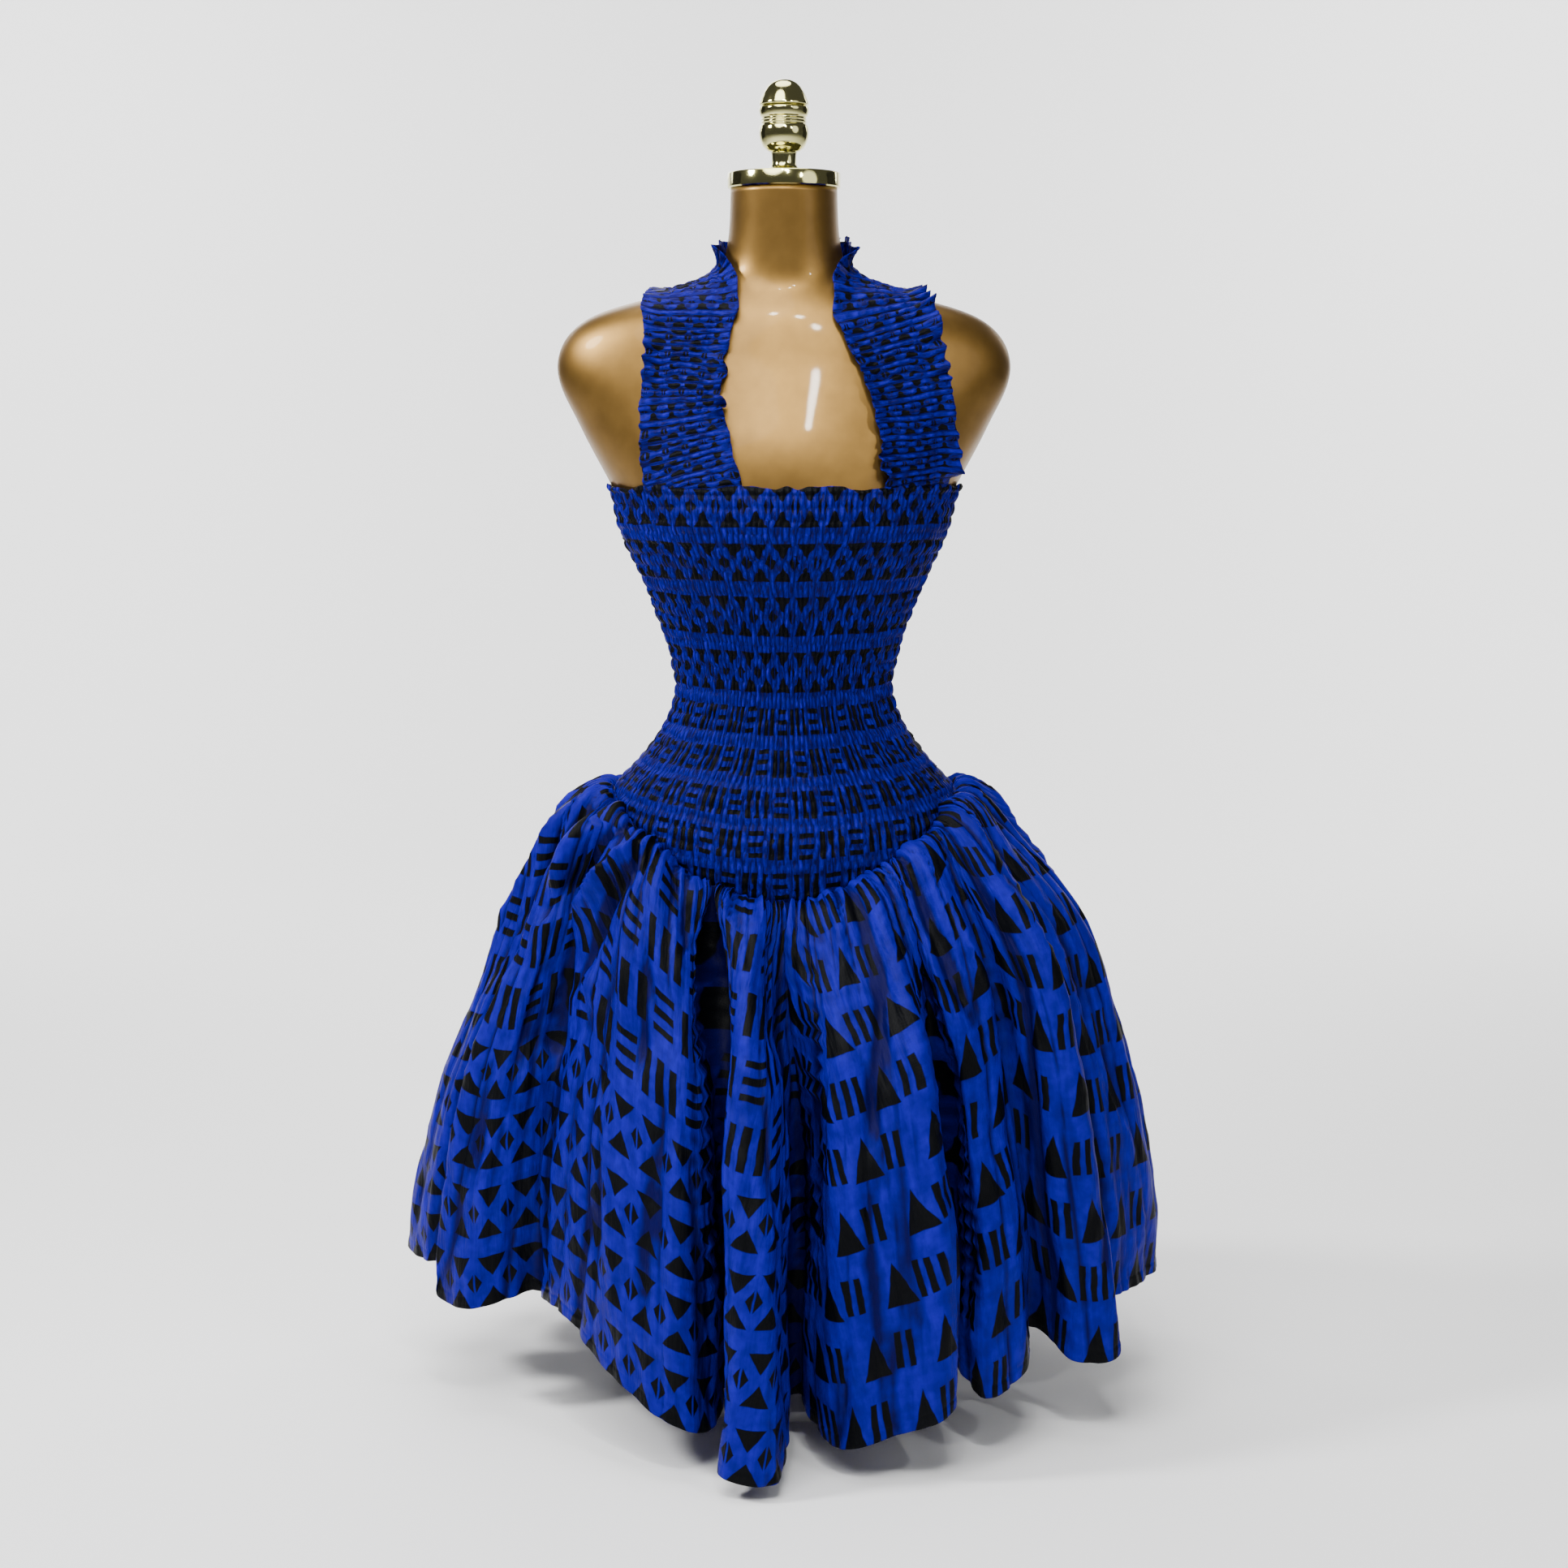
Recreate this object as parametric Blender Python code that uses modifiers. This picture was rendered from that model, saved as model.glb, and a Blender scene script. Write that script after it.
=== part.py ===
"""Halter neck dress with a shirred bodice and a gathered skirt, on a limbless dress form.

Metres, +Z up, the front faces -Y and the wearer's right side is at -X. The origin is the
middle of the stand's underside. Angles go round the body from the front, towards +X.
"""

import math
from collections import namedtuple

import bmesh
import bpy
import numpy as np
from mathutils import Vector
from mathutils.bvhtree import BVHTree

# Cloth
CLOTH = 0.0018  # wall of the plain cloth
SHIRRED = 0.0020  # wall of the shirred cloth between its puckers
PUCKER = 0.0026  # how far a pucker stands out of the shirred wall
PUCKER_LOW = 0.35  # share of that height which is left between two puckers
SEAM_GAP = 0.0003
CHORD_GAP = 0.0007  # more at the drop waist, whose two edges have their corners at other angles
BODY_CLEARANCE = 0.0032  # between the form and the inside of the bodice
STRAP_CLEARANCE = 0.0020

# Bodice
BODICE_TOP = 0.8850
SEAM_FRONT = 0.4920  # height of the drop waist seam at the middle of the front
SEAM_SIDE_RISE = 0.1050
SEAM_BACK_DIP = 0.0450
SEAM_SPREAD = 50.0  # degrees over which the seam rises from its point
WAIST_HEIGHT = 0.6920
BODICE_COLUMNS = 32  # of one panel, two to a pucker
BODICE_ROWS = 32  # two to a band between elastic threads
INSIDE_COLUMNS = 2  # outside columns and rows to one of the plain inside
INSIDE_ROWS = 2

# Skirt
HEM_FRONT = 0.0200
HEM_SIDE_RISE = 0.1150
HEM_BACK_DIP = 0.0500
HEM_SPREAD = 42.0
GATHER = 0.0022  # half the depth of the small gathers under the seam
GATHER_SHARE = 0.25  # the most that it may be, as a share of the space between two columns
GATHER_END = 0.50  # share of the way to the hem where the gathers have faded out
GATHER_FULL = 0.12  # and where they start to fade
HEM_LED = 0.55  # how far the waist's columns stand under the folds, against evenly spread
SKIRT_ROWS = 10
STATION_STEPS = 2  # columns from one station of the hem to the next
WIDE_FOLD = 9.0  # a fold that spreads further than this has a station on its crest too
VALLEY_SPREAD = 1.3
MOUTH_SHARE = 0.8  # how round a narrow fold's end is, as a share of the fold's mouth
CENTRE_SEAM_FOLD = "tongue"  # the centre front seam lies in the valley after this fold
SIDE_SEAM_FOLD = "side_left"  # and the wearer's left side seam after this one
CREST = 0.0040  # how far the crest of a wide fold stands out beyond its two sides
MITRE_LIMIT = 0.6  # the inside of a sharp bend is set no further than the cloth over this

# Straps
STRAP_ROWS = 40  # along one strap, two to a ruffle wave
STRAP_ACROSS = (-1.0, -0.62, -0.31, 0.0, 0.31, 0.62, 1.0)
FRILL_FROM = 0.6  # share of the half width where the loose frill starts
FRILL_LIFT = 0.0050
FRILL_WAVE = 0.0038
STRAP_PUCKER = 0.0007
END_LIFT = 0.15  # share of the frill's lift that is left where the strap is sewn down
WALK_STEPS = 8  # over the form, from the strap's middle line to its edge

# Form and stand
FORM_COLUMNS = 32
CAP_RADIUS = 0.0535
CAP_HEIGHT = 0.0145
CAP_EDGE = 0.0015
CAP_CROWN = 0.6  # share of the cap's radius where its top begins to fall
POLE_RADIUS = 0.0125
SOCKET_RADIUS = 0.0400
SOCKET_HEIGHT = 0.0300
SOCKET_PLATE = 0.0060
SOCKET_NECK = 0.0200  # radius of the tube under the socket's plate
BASE_RADIUS = 0.1400
BASE_HEIGHT = 0.0100
BASE_CHAMFER = 0.0025
TURNED_STEPS = 24
ROUND_STEPS = 32  # of the larger discs
BUST_MOUND = 0.0090
BUST_ANGLE = 28.0
BUST_SPREAD = 16.0
BUST_HEIGHT = 0.8550
BUST_TALL = 0.0420

# Heights of the form's sections, from its flat underside to the top of the neck
Section = namedtuple("Section", "height half_width front back middle")
FORM = (
    Section(0.4000, 0.1580, 0.0950, 0.1000, 0.000),
    Section(0.4500, 0.1710, 0.1050, 0.1130, 0.000),
    Section(0.5000, 0.1790, 0.1110, 0.1180, 0.000),
    Section(0.5500, 0.1770, 0.1110, 0.1130, 0.000),
    Section(0.5800, 0.1665, 0.1035, 0.1015, 0.000),
    Section(0.6000, 0.1535, 0.0995, 0.0945, 0.000),
    Section(0.6150, 0.1395, 0.0955, 0.0885, 0.000),
    Section(0.6310, 0.1255, 0.0925, 0.0835, 0.000),
    Section(0.6475, 0.1140, 0.0895, 0.0785, 0.000),
    Section(0.6640, 0.1055, 0.0875, 0.0755, 0.000),
    Section(0.6780, 0.1005, 0.0865, 0.0740, 0.000),
    Section(0.6920, 0.0985, 0.0860, 0.0735, 0.000),
    Section(0.7100, 0.1010, 0.0870, 0.0735, 0.000),
    Section(0.7450, 0.1110, 0.0930, 0.0750, 0.000),
    Section(0.7780, 0.1235, 0.1015, 0.0790, 0.000),
    Section(0.8100, 0.1375, 0.1115, 0.0845, 0.000),
    Section(0.8410, 0.1520, 0.1165, 0.0895, 0.000),
    Section(0.8716, 0.1590, 0.1150, 0.0930, 0.000),
    Section(0.9170, 0.1850, 0.1090, 0.1000, 0.000),
    Section(0.9470, 0.1990, 0.0990, 0.1010, 0.000),
    Section(0.9775, 0.2147, 0.0890, 0.1000, 0.000),
    Section(0.9965, 0.2180, 0.0830, 0.0970, 0.000),
    Section(1.0153, 0.2135, 0.0780, 0.0930, 0.000),
    Section(1.0304, 0.2030, 0.0740, 0.0890, 0.000),
    Section(1.0435, 0.1850, 0.0700, 0.0840, 0.000),
    Section(1.0540, 0.1560, 0.0660, 0.0790, 0.000),
    Section(1.0630, 0.1180, 0.0620, 0.0730, 0.000),
    Section(1.0720, 0.0840, 0.0580, 0.0670, -0.001),
    Section(1.0850, 0.0630, 0.0550, 0.0610, -0.003),
    Section(1.1050, 0.0545, 0.0530, 0.0560, -0.005),
    Section(1.1350, 0.0515, 0.0515, 0.0525, -0.008),
    Section(1.1625, 0.0506, 0.0506, 0.0506, -0.010),
)

# The hem's deep folds, round the skirt from the wearer's right side. Each has a ridge and the
# valley after it. Angles are in degrees and reaches are metres from the middle of the form.
# skew: how much further out the ridge ends than it starts. drop: the hem below its own line.
Fold = namedtuple("Fold", "name centre spread reach skew drop valley valley_reach lift")
FOLDS = (
    Fold("side_right", -88.0, 5.0, 0.366, -0.018, 0.004, -79.0, 0.332, 0.000),
    Fold("hip_right", -71.8, 4.0, 0.338, -0.030, 0.022, -66.0, 0.262, -0.010),
    Fold("wide_front", -32.0, 17.5, 0.287, 0.024, -0.010, -12.5, 0.205, 0.022),
    Fold("tongue", -5.2, 4.6, 0.336, 0.000, 0.004, 3.2, 0.205, 0.028),
    Fold("broad_front", 18.0, 9.7, 0.312, 0.042, -0.005, 37.0, 0.252, 0.006),
    Fold("narrow_front", 44.0, 7.0, 0.303, -0.008, 0.022, 53.5, 0.285, -0.014),
    Fold("hip_left", 57.3, 2.8, 0.346, 0.030, 0.036, 62.5, 0.300, -0.004),
    Fold("side_left", 76.0, 7.5, 0.356, 0.022, 0.006, 90.0, 0.318, 0.004),
    Fold("back_1", 100.0, 6.0, 0.352, 0.006, 0.004, 109.5, 0.296, 0.006),
    Fold("back_2", 119.0, 5.5, 0.338, 0.010, 0.010, 128.0, 0.282, 0.008),
    Fold("back_3", 138.0, 6.5, 0.342, -0.010, 0.004, 148.0, 0.270, 0.010),
    Fold("back_4", 157.0, 5.0, 0.326, 0.012, 0.012, 166.0, 0.262, 0.008),
    Fold("back_5", 176.0, 7.0, 0.338, 0.000, 0.006, 187.0, 0.258, 0.010),
    Fold("back_6", 196.0, 5.5, 0.330, -0.012, 0.010, 205.0, 0.266, 0.006),
    Fold("back_7", 215.0, 7.0, 0.346, 0.008, 0.004, 225.5, 0.276, 0.010),
    Fold("back_8", 235.0, 5.5, 0.336, 0.010, 0.012, 244.5, 0.290, 0.006),
    Fold("back_9", 254.5, 6.0, 0.354, -0.006, 0.004, 263.0, 0.316, 0.004),
)

# How the skirt goes from the seam (0) to the hem (1): the share of its drop, and the share of
# its reach on the wearer's right and on the left, where it puffs out higher up
Profile = namedtuple("Profile", "drop right left")
SKIRT_PROFILE = (
    Profile(-0.008, 0.070, 0.080),
    Profile(0.020, 0.170, 0.170),
    Profile(0.085, 0.290, 0.300),
    Profile(0.180, 0.405, 0.500),
    Profile(0.290, 0.520, 0.670),
    Profile(0.420, 0.650, 0.765),
    Profile(0.560, 0.775, 0.845),
    Profile(0.700, 0.875, 0.915),
    Profile(0.850, 0.950, 0.970),
    Profile(1.000, 1.000, 1.000),
)

# The middle line of each strap, from the bodice over the shoulder to the back of the neck
Strap = namedtuple("Strap", "x y z half_width")
STRAP_RIGHT = (
    Strap(-0.089, -0.115, 0.8858, 0.049),
    Strap(-0.098, -0.100, 0.9600, 0.038),
    Strap(-0.091, -0.080, 1.0150, 0.040),
    Strap(-0.083, -0.045, 1.0500, 0.046),
    Strap(-0.076, -0.002, 1.0720, 0.048),
    Strap(-0.058, 0.040, 1.0860, 0.040),
    Strap(-0.032, 0.060, 1.0900, 0.034),
    Strap(0.000, 0.066, 1.0910, 0.032),
)
STRAP_LEFT = (
    Strap(0.134, -0.090, 0.8858, 0.042),
    Strap(0.121, -0.085, 0.9600, 0.040),
    Strap(0.104, -0.070, 1.0150, 0.044),
    Strap(0.087, -0.042, 1.0500, 0.047),
    Strap(0.076, -0.002, 1.0720, 0.048),
    Strap(0.058, 0.040, 1.0860, 0.040),
    Strap(0.032, 0.060, 1.0900, 0.034),
    Strap(0.000, 0.066, 1.0910, 0.032),
)

# Half profile of the turned knob on the neck cap, from its crown down to its foot
Turned = namedtuple("Turned", "radius height")
KNOB = (
    Turned(0.0000, 0.0850),
    Turned(0.0075, 0.0837),
    Turned(0.0140, 0.0798),
    Turned(0.0190, 0.0729),
    Turned(0.0222, 0.0656),
    Turned(0.0232, 0.0614),
    Turned(0.0205, 0.0603),
    Turned(0.0230, 0.0588),
    Turned(0.0235, 0.0556),
    Turned(0.0225, 0.0514),
    Turned(0.0208, 0.0491),
    Turned(0.0216, 0.0477),
    Turned(0.0208, 0.0464),
    Turned(0.0216, 0.0449),
    Turned(0.0208, 0.0434),
    Turned(0.0226, 0.0409),
    Turned(0.0234, 0.0357),
    Turned(0.0226, 0.0294),
    Turned(0.0196, 0.0226),
    Turned(0.0150, 0.0184),
    Turned(0.0122, 0.0168),
    Turned(0.0116, 0.0094),
    Turned(0.0128, 0.0042),
    Turned(0.0165, 0.0013),
    Turned(0.0170, 0.0000),
    Turned(0.0000, 0.0000),
)


def clear_scene():
    """Removes the startup objects."""
    for thing in list(bpy.data.objects):
        bpy.data.objects.remove(thing)


def new_collection(name):
    """A collection in the scene for the parts."""
    collection = bpy.data.collections.new(name)
    bpy.context.scene.collection.children.link(collection)
    return collection


def make_material(name, color, roughness, metallic):
    """A Principled material with one colour, given as linear red, green and blue."""
    material = bpy.data.materials.new(name)
    material.use_nodes = True
    shader = material.node_tree.nodes["Principled BSDF"]
    shader.inputs["Base Color"].default_value = (*color, 1.0)
    shader.inputs["Roughness"].default_value = roughness
    shader.inputs["Metallic"].default_value = metallic
    return material


def add_mesh(name, work, material, collection):
    """Turns a bmesh into an object with smooth faces and sharp edges where it turns a corner."""
    bmesh.ops.recalc_face_normals(work, faces=work.faces)
    mesh = bpy.data.meshes.new(name)
    work.to_mesh(mesh)
    work.free()
    mesh.shade_smooth()
    mesh.set_sharp_from_angle(angle=math.radians(40.0))
    mesh.materials.append(material)
    piece = bpy.data.objects.new(name, mesh)
    collection.objects.link(piece)
    return piece


def column(rows, name):
    """One named column of a table."""
    return np.array([getattr(row, name) for row in rows])


def smooth_lookup(places, values, at):
    """Smooth curve through the values at rising places, as a cubic with averaged slopes."""
    places = np.asarray(places, float)
    values = np.asarray(values, float)
    slopes = np.gradient(values, places)
    at = np.clip(at, places[0], places[-1])
    left = np.clip(np.searchsorted(places, at, side="right") - 1, 0, len(places) - 2)
    step = places[left + 1] - places[left]
    share = (at - places[left]) / step
    square, cube = share**2, share**3
    return (
        (2 * cube - 3 * square + 1) * values[left]
        + (cube - 2 * square + share) * step * slopes[left]
        + (3 * square - 2 * cube) * values[left + 1]
        + (cube - square) * step * slopes[left + 1]
    )


def half_turn(degrees):
    """The same angle between -180 and 180 degrees."""
    return (np.asarray(degrees, float) + 180.0) % 360.0 - 180.0


def point_line(degrees, front, side_rise, back_dip, spread):
    """Height of a line round the body that comes to a point at the front and dips at the back."""
    away = half_turn(degrees)
    behind = 180.0 - np.abs(away)
    rise = 1.0 - np.exp(-((away / spread) ** 2))
    dip = np.exp(-((behind / spread) ** 2))
    return front + side_rise * rise - back_dip * dip


def seam_height(degrees):
    """Height of the seam that joins the bodice to the skirt."""
    return point_line(degrees, SEAM_FRONT, SEAM_SIDE_RISE, SEAM_BACK_DIP, SEAM_SPREAD)


def hem_height(degrees):
    """Height of the hem before its folds drop or lift it."""
    return point_line(degrees, HEM_FRONT, HEM_SIDE_RISE, HEM_BACK_DIP, HEM_SPREAD)


def bust_mound(degrees, heights, bridged):
    """How far the bust stands out. Cloth bridges the dip between its two sides."""
    away = np.abs(half_turn(degrees)) - BUST_ANGLE
    away = np.maximum(away, 0.0) if bridged else away
    across = np.exp(-((away / BUST_SPREAD) ** 2))
    up = np.exp(-(((heights - BUST_HEIGHT) / BUST_TALL) ** 2))
    return BUST_MOUND * across * up


def body_points(degrees, heights, out=0.0, bridged=True):
    """Points on the form's surface, moved outwards by the given distance in plan."""
    degrees, heights, out = np.broadcast_arrays(
        np.asarray(degrees, float), np.asarray(heights, float), np.asarray(out, float)
    )
    turn = np.radians(degrees)
    levels = column(FORM, "height")
    width = smooth_lookup(levels, column(FORM, "half_width"), heights)
    front = smooth_lookup(levels, column(FORM, "front"), heights)
    back = smooth_lookup(levels, column(FORM, "back"), heights)
    middle = smooth_lookup(levels, column(FORM, "middle"), heights)
    depth = np.where(np.cos(turn) > 0.0, front, back)
    normal = np.stack([np.sin(turn) / width, -np.cos(turn) / depth], -1)
    normal /= np.linalg.norm(normal, axis=-1, keepdims=True)
    push = (out + bust_mound(degrees, heights, bridged))[..., None] * normal
    x = width * np.sin(turn) + push[..., 0]
    y = middle - depth * np.cos(turn) + push[..., 1]
    return np.stack([x, y, heights], -1)


def border(rows, columns):
    """Indices of a grid's edge points, once round."""
    top = [(0, j) for j in range(columns)]
    right = [(i, columns) for i in range(rows)]
    bottom = [(rows, j) for j in range(columns, 0, -1)]
    left = [(i, 0) for i in range(rows, 0, -1)]
    return top + right + bottom + left


def wall(name, outside, inside, material, collection):
    """A closed wall between two grids. The inside may have whole times fewer rows and columns."""
    work = bmesh.new()
    skins = []
    for grid in (outside, inside):
        points = [[work.verts.new(point) for point in row] for row in grid]
        for i in range(len(points) - 1):
            for j in range(len(points[0]) - 1):
                work.faces.new(
                    (points[i][j], points[i][j + 1], points[i + 1][j + 1], points[i + 1][j])
                )
        skins.append(points)
    outer, inner = skins
    down = (len(outer) - 1) // (len(inner) - 1)
    along = (len(outer[0]) - 1) // (len(inner[0]) - 1)
    edge = border(len(inner) - 1, len(inner[0]) - 1)
    for (i, j), (next_i, next_j) in zip(edge, edge[1:] + edge[:1]):
        steps = max(abs(next_i - i) * down, abs(next_j - j) * along)
        rim = [
            outer[i * down + (next_i - i) * down * k // steps][
                j * along + (next_j - j) * along * k // steps
            ]
            for k in range(steps + 1)
        ]
        for first, second in zip(rim, rim[1:]):
            work.faces.new((first, second, inner[i][j]))
        work.faces.new((rim[-1], inner[next_i][next_j], inner[i][j]))
    return add_mesh(name, work, material, collection)


def turned(name, profile, foot, steps, material, collection):
    """A solid of revolution about the Z axis, from a half profile that runs down its outside."""
    mesh = bpy.data.meshes.new(name)
    points = [(row.radius, 0.0, row.height) for row in profile]
    mesh.from_pydata(points, [(i, i + 1) for i in range(len(points) - 1)], [])
    piece = bpy.data.objects.new(name, mesh)
    piece.location.z = foot
    mesh.materials.append(material)
    collection.objects.link(piece)
    spin = piece.modifiers.new("turn", "SCREW")
    spin.steps = steps
    spin.render_steps = steps
    spin.use_merge_vertices = True
    spin.merge_threshold = 0.00002
    spin.use_smooth_shade = True
    return piece


def form_torso(material, collection):
    """The form's body as a loft through its sections, with a flat underside and neck."""
    degrees = np.arange(FORM_COLUMNS) * 360.0 / FORM_COLUMNS
    levels = column(FORM, "height")
    grid = body_points(degrees[None, :], levels[:, None], bridged=False)
    work = bmesh.new()
    rings = [[work.verts.new(point) for point in ring] for ring in grid]
    for low, high in zip(rings, rings[1:]):
        for j in range(FORM_COLUMNS):
            k = (j + 1) % FORM_COLUMNS
            work.faces.new((low[j], low[k], high[k], high[j]))
    work.faces.new(rings[0])
    work.faces.new(rings[-1])
    return add_mesh("form_torso", work, material, collection)


def form_hardware(gold, steel, collection):
    """The neck cap and its knob, and the stand: socket, pole and round base."""
    neck = FORM[-1]
    cap_foot = neck.height + SEAM_GAP
    cap = (
        Turned(0.0, CAP_HEIGHT + CAP_EDGE),
        Turned(CAP_RADIUS * CAP_CROWN, CAP_HEIGHT + CAP_EDGE * CAP_CROWN),
        Turned(CAP_RADIUS - CAP_EDGE, CAP_HEIGHT),
        Turned(CAP_RADIUS, CAP_HEIGHT - CAP_EDGE),
        Turned(CAP_RADIUS, CAP_EDGE),
        Turned(CAP_RADIUS - CAP_EDGE, 0.0),
        Turned(0.0, 0.0),
    )
    piece = turned("neck_cap", cap, cap_foot, ROUND_STEPS, gold, collection)
    piece.location.y = neck.middle
    knob_foot = cap_foot + CAP_HEIGHT + CAP_EDGE + SEAM_GAP
    piece = turned("neck_knob", KNOB, knob_foot, TURNED_STEPS, gold, collection)
    piece.location.y = neck.middle

    underside = FORM[0].height
    socket = (
        Turned(0.0, SOCKET_HEIGHT),
        Turned(SOCKET_RADIUS, SOCKET_HEIGHT),
        Turned(SOCKET_RADIUS, SOCKET_HEIGHT - SOCKET_PLATE),
        Turned(SOCKET_NECK, SOCKET_HEIGHT - SOCKET_PLATE - CAP_EDGE),
        Turned(SOCKET_NECK, 0.0),
        Turned(0.0, 0.0),
    )
    socket_foot = underside - SEAM_GAP - SOCKET_HEIGHT
    turned("stand_socket", socket, socket_foot, TURNED_STEPS, steel, collection)
    pole_foot = BASE_HEIGHT + SEAM_GAP
    pole_height = socket_foot - SEAM_GAP - pole_foot
    pole = (
        Turned(0.0, pole_height),
        Turned(POLE_RADIUS, pole_height),
        Turned(POLE_RADIUS, 0.0),
        Turned(0.0, 0.0),
    )
    turned("stand_pole", pole, pole_foot, TURNED_STEPS, steel, collection)
    base = (
        Turned(0.0, BASE_HEIGHT),
        Turned(BASE_RADIUS - BASE_CHAMFER, BASE_HEIGHT),
        Turned(BASE_RADIUS, BASE_HEIGHT - BASE_CHAMFER),
        Turned(BASE_RADIUS, 0.0),
        Turned(0.0, 0.0),
    )
    turned("stand_base", base, 0.0, ROUND_STEPS, steel, collection)


def bodice_panel(name, start, material, collection):
    """Half of the shirred tube, from one side seam to the other, puckered on its outside."""
    waist = smooth_lookup(column(FORM, "height"), column(FORM, "half_width"), WAIST_HEIGHT)
    trim = math.degrees(SEAM_GAP / 2 / waist)
    degrees = start + np.linspace(trim, 180.0 - trim, BODICE_COLUMNS + 1)[None, :]
    down = np.linspace(0.0, 1.0, BODICE_ROWS + 1)[:, None]
    side_drop = BODICE_TOP - SEAM_FRONT - SEAM_SIDE_RISE
    sag = BODICE_TOP - seam_height(degrees) - side_drop
    heights = BODICE_TOP - side_drop * down - sag * down**2
    row = np.arange(BODICE_ROWS + 1)[:, None]
    col = np.arange(BODICE_COLUMNS + 1)[None, :]
    between_threads = row % 2
    crest = (col + row // 2) % 2
    at_border = (col == 0) | (col == BODICE_COLUMNS) | (row == BODICE_ROWS)
    swell = between_threads * (PUCKER_LOW + (1.0 - PUCKER_LOW) * crest)
    raised = np.where(at_border, 0.0, PUCKER * swell)
    outside = body_points(degrees, heights, BODY_CLEARANCE + SHIRRED + raised)
    inside = body_points(degrees, heights, BODY_CLEARANCE)[::INSIDE_ROWS, ::INSIDE_COLUMNS]
    return wall(name, outside, inside, material, collection)


def hem_stations():
    """The hem's stations once round, as angle, reach, height and the columns to the next."""
    rows = []
    for fold in FOLDS:
        sides = (-1.0, 0.0, 1.0) if fold.spread > WIDE_FOLD else (-1.0, 1.0)
        for side in sides:
            degrees = fold.centre + side * fold.spread
            reach = fold.reach + side * fold.skew / 2 + (CREST if side == 0.0 else 0.0)
            rows.append((degrees, reach, hem_height(degrees) - fold.drop, STATION_STEPS))
        for side, steps in ((-1.0, 1), (1.0, STATION_STEPS)):
            degrees = fold.valley + side * VALLEY_SPREAD
            rows.append((degrees, fold.valley_reach, hem_height(degrees) + fold.lift, steps))
    return np.array(rows, float)


def closed_curve(points, steps):
    """Smooth closed curve through the points, with so many steps from each to the next."""
    before, after = np.roll(points, 1, axis=0), np.roll(points, -1, axis=0)
    length = np.linalg.norm(after - points, axis=1)
    slope = after - before
    mouth = np.linalg.norm(slope, axis=1)
    reach = np.minimum(np.minimum(length, np.roll(length, 1)), MOUTH_SHARE * mouth)
    slope = slope * (reach / mouth)[:, None]
    curve = []
    for k, pieces in enumerate(steps.astype(int)):
        n = (k + 1) % len(points)
        for share in np.arange(pieces) / pieces:
            square, cube = share**2, share**3
            curve.append(
                (2 * cube - 3 * square + 1) * points[k]
                + (cube - 2 * square + share) * slope[k]
                + (3 * square - 2 * cube) * points[n]
                + (cube - square) * slope[n]
            )
    return np.array(curve)


def skirt_surface():
    """The skirt's outside as rows of points from the seam to the hem, closed round the body."""
    stations = hem_stations()
    turn = np.radians(stations[:, 0])
    plan = stations[:, 1:2] * np.stack([np.sin(turn), -np.cos(turn)], -1)
    hem = closed_curve(np.column_stack([plan, stations[:, 2]]), stations[:, 3])
    count = len(hem)
    around = np.unwrap(np.arctan2(hem[:, 0], -hem[:, 1]))
    steps = np.linalg.norm(np.diff(hem, axis=0, append=hem[:1]), axis=1)
    along = np.concatenate([[0.0], np.cumsum(steps)[:-1]]) / steps.sum()
    even = math.degrees(around[0]) + 360.0 * along
    waist = (1.0 - HEM_LED) * even + HEM_LED * np.degrees(around)
    top = body_points(waist, seam_height(waist), BODY_CLEARANCE + CLOTH)
    top[:, 2] -= SEAM_GAP + CHORD_GAP
    leftness = (1.0 + np.sin(np.radians(waist))) / 2.0
    table = np.linspace(0.0, 1.0, len(SKIRT_PROFILE) + 1)
    at = np.linspace(0.0, 1.0, SKIRT_ROWS + 1)
    drop = np.interp(at, table, np.append(0.0, column(SKIRT_PROFILE, "drop")))
    right = np.interp(at, table, np.append(0.0, column(SKIRT_PROFILE, "right")))
    left = np.interp(at, table, np.append(0.0, column(SKIRT_PROFILE, "left")))
    reach = right[:, None] * (1.0 - leftness) + left[:, None] * leftness
    out = top[:, :2] / np.linalg.norm(top[:, :2], axis=1, keepdims=True)
    pitch = np.linalg.norm(np.roll(top, -1, axis=0) - np.roll(top, 1, axis=0), axis=1) / 2
    gather = np.minimum(GATHER, GATHER_SHARE * pitch) * (-1.0) ** np.arange(count)
    fade = np.clip((GATHER_END - at) / (GATHER_END - GATHER_FULL), 0.0, 1.0)
    fade[0] = 0.0
    rows = []
    for k in range(SKIRT_ROWS + 1):
        flat = top[:, :2] + (hem[:, :2] - top[:, :2]) * reach[k][:, None]
        flat = flat + out * (gather * fade[k])[:, None]
        height = top[:, 2] + (hem[:, 2] - top[:, 2]) * drop[k]
        rows.append(np.column_stack([flat, height]))
    return np.array(rows)


def wall_offsets(grid):
    """Outward steps of unit wall thickness for a grid of points that closes on itself."""
    ahead = np.roll(grid, -1, axis=1) - grid
    ahead /= np.linalg.norm(ahead, axis=-1, keepdims=True)
    across = ahead + np.roll(ahead, 1, axis=1)
    turn = np.linalg.norm(across, axis=-1, keepdims=True) / 2
    normal = np.cross(np.gradient(grid, axis=0), across)
    normal /= np.linalg.norm(normal, axis=-1, keepdims=True)
    return normal / np.maximum(turn, MITRE_LIMIT)


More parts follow.
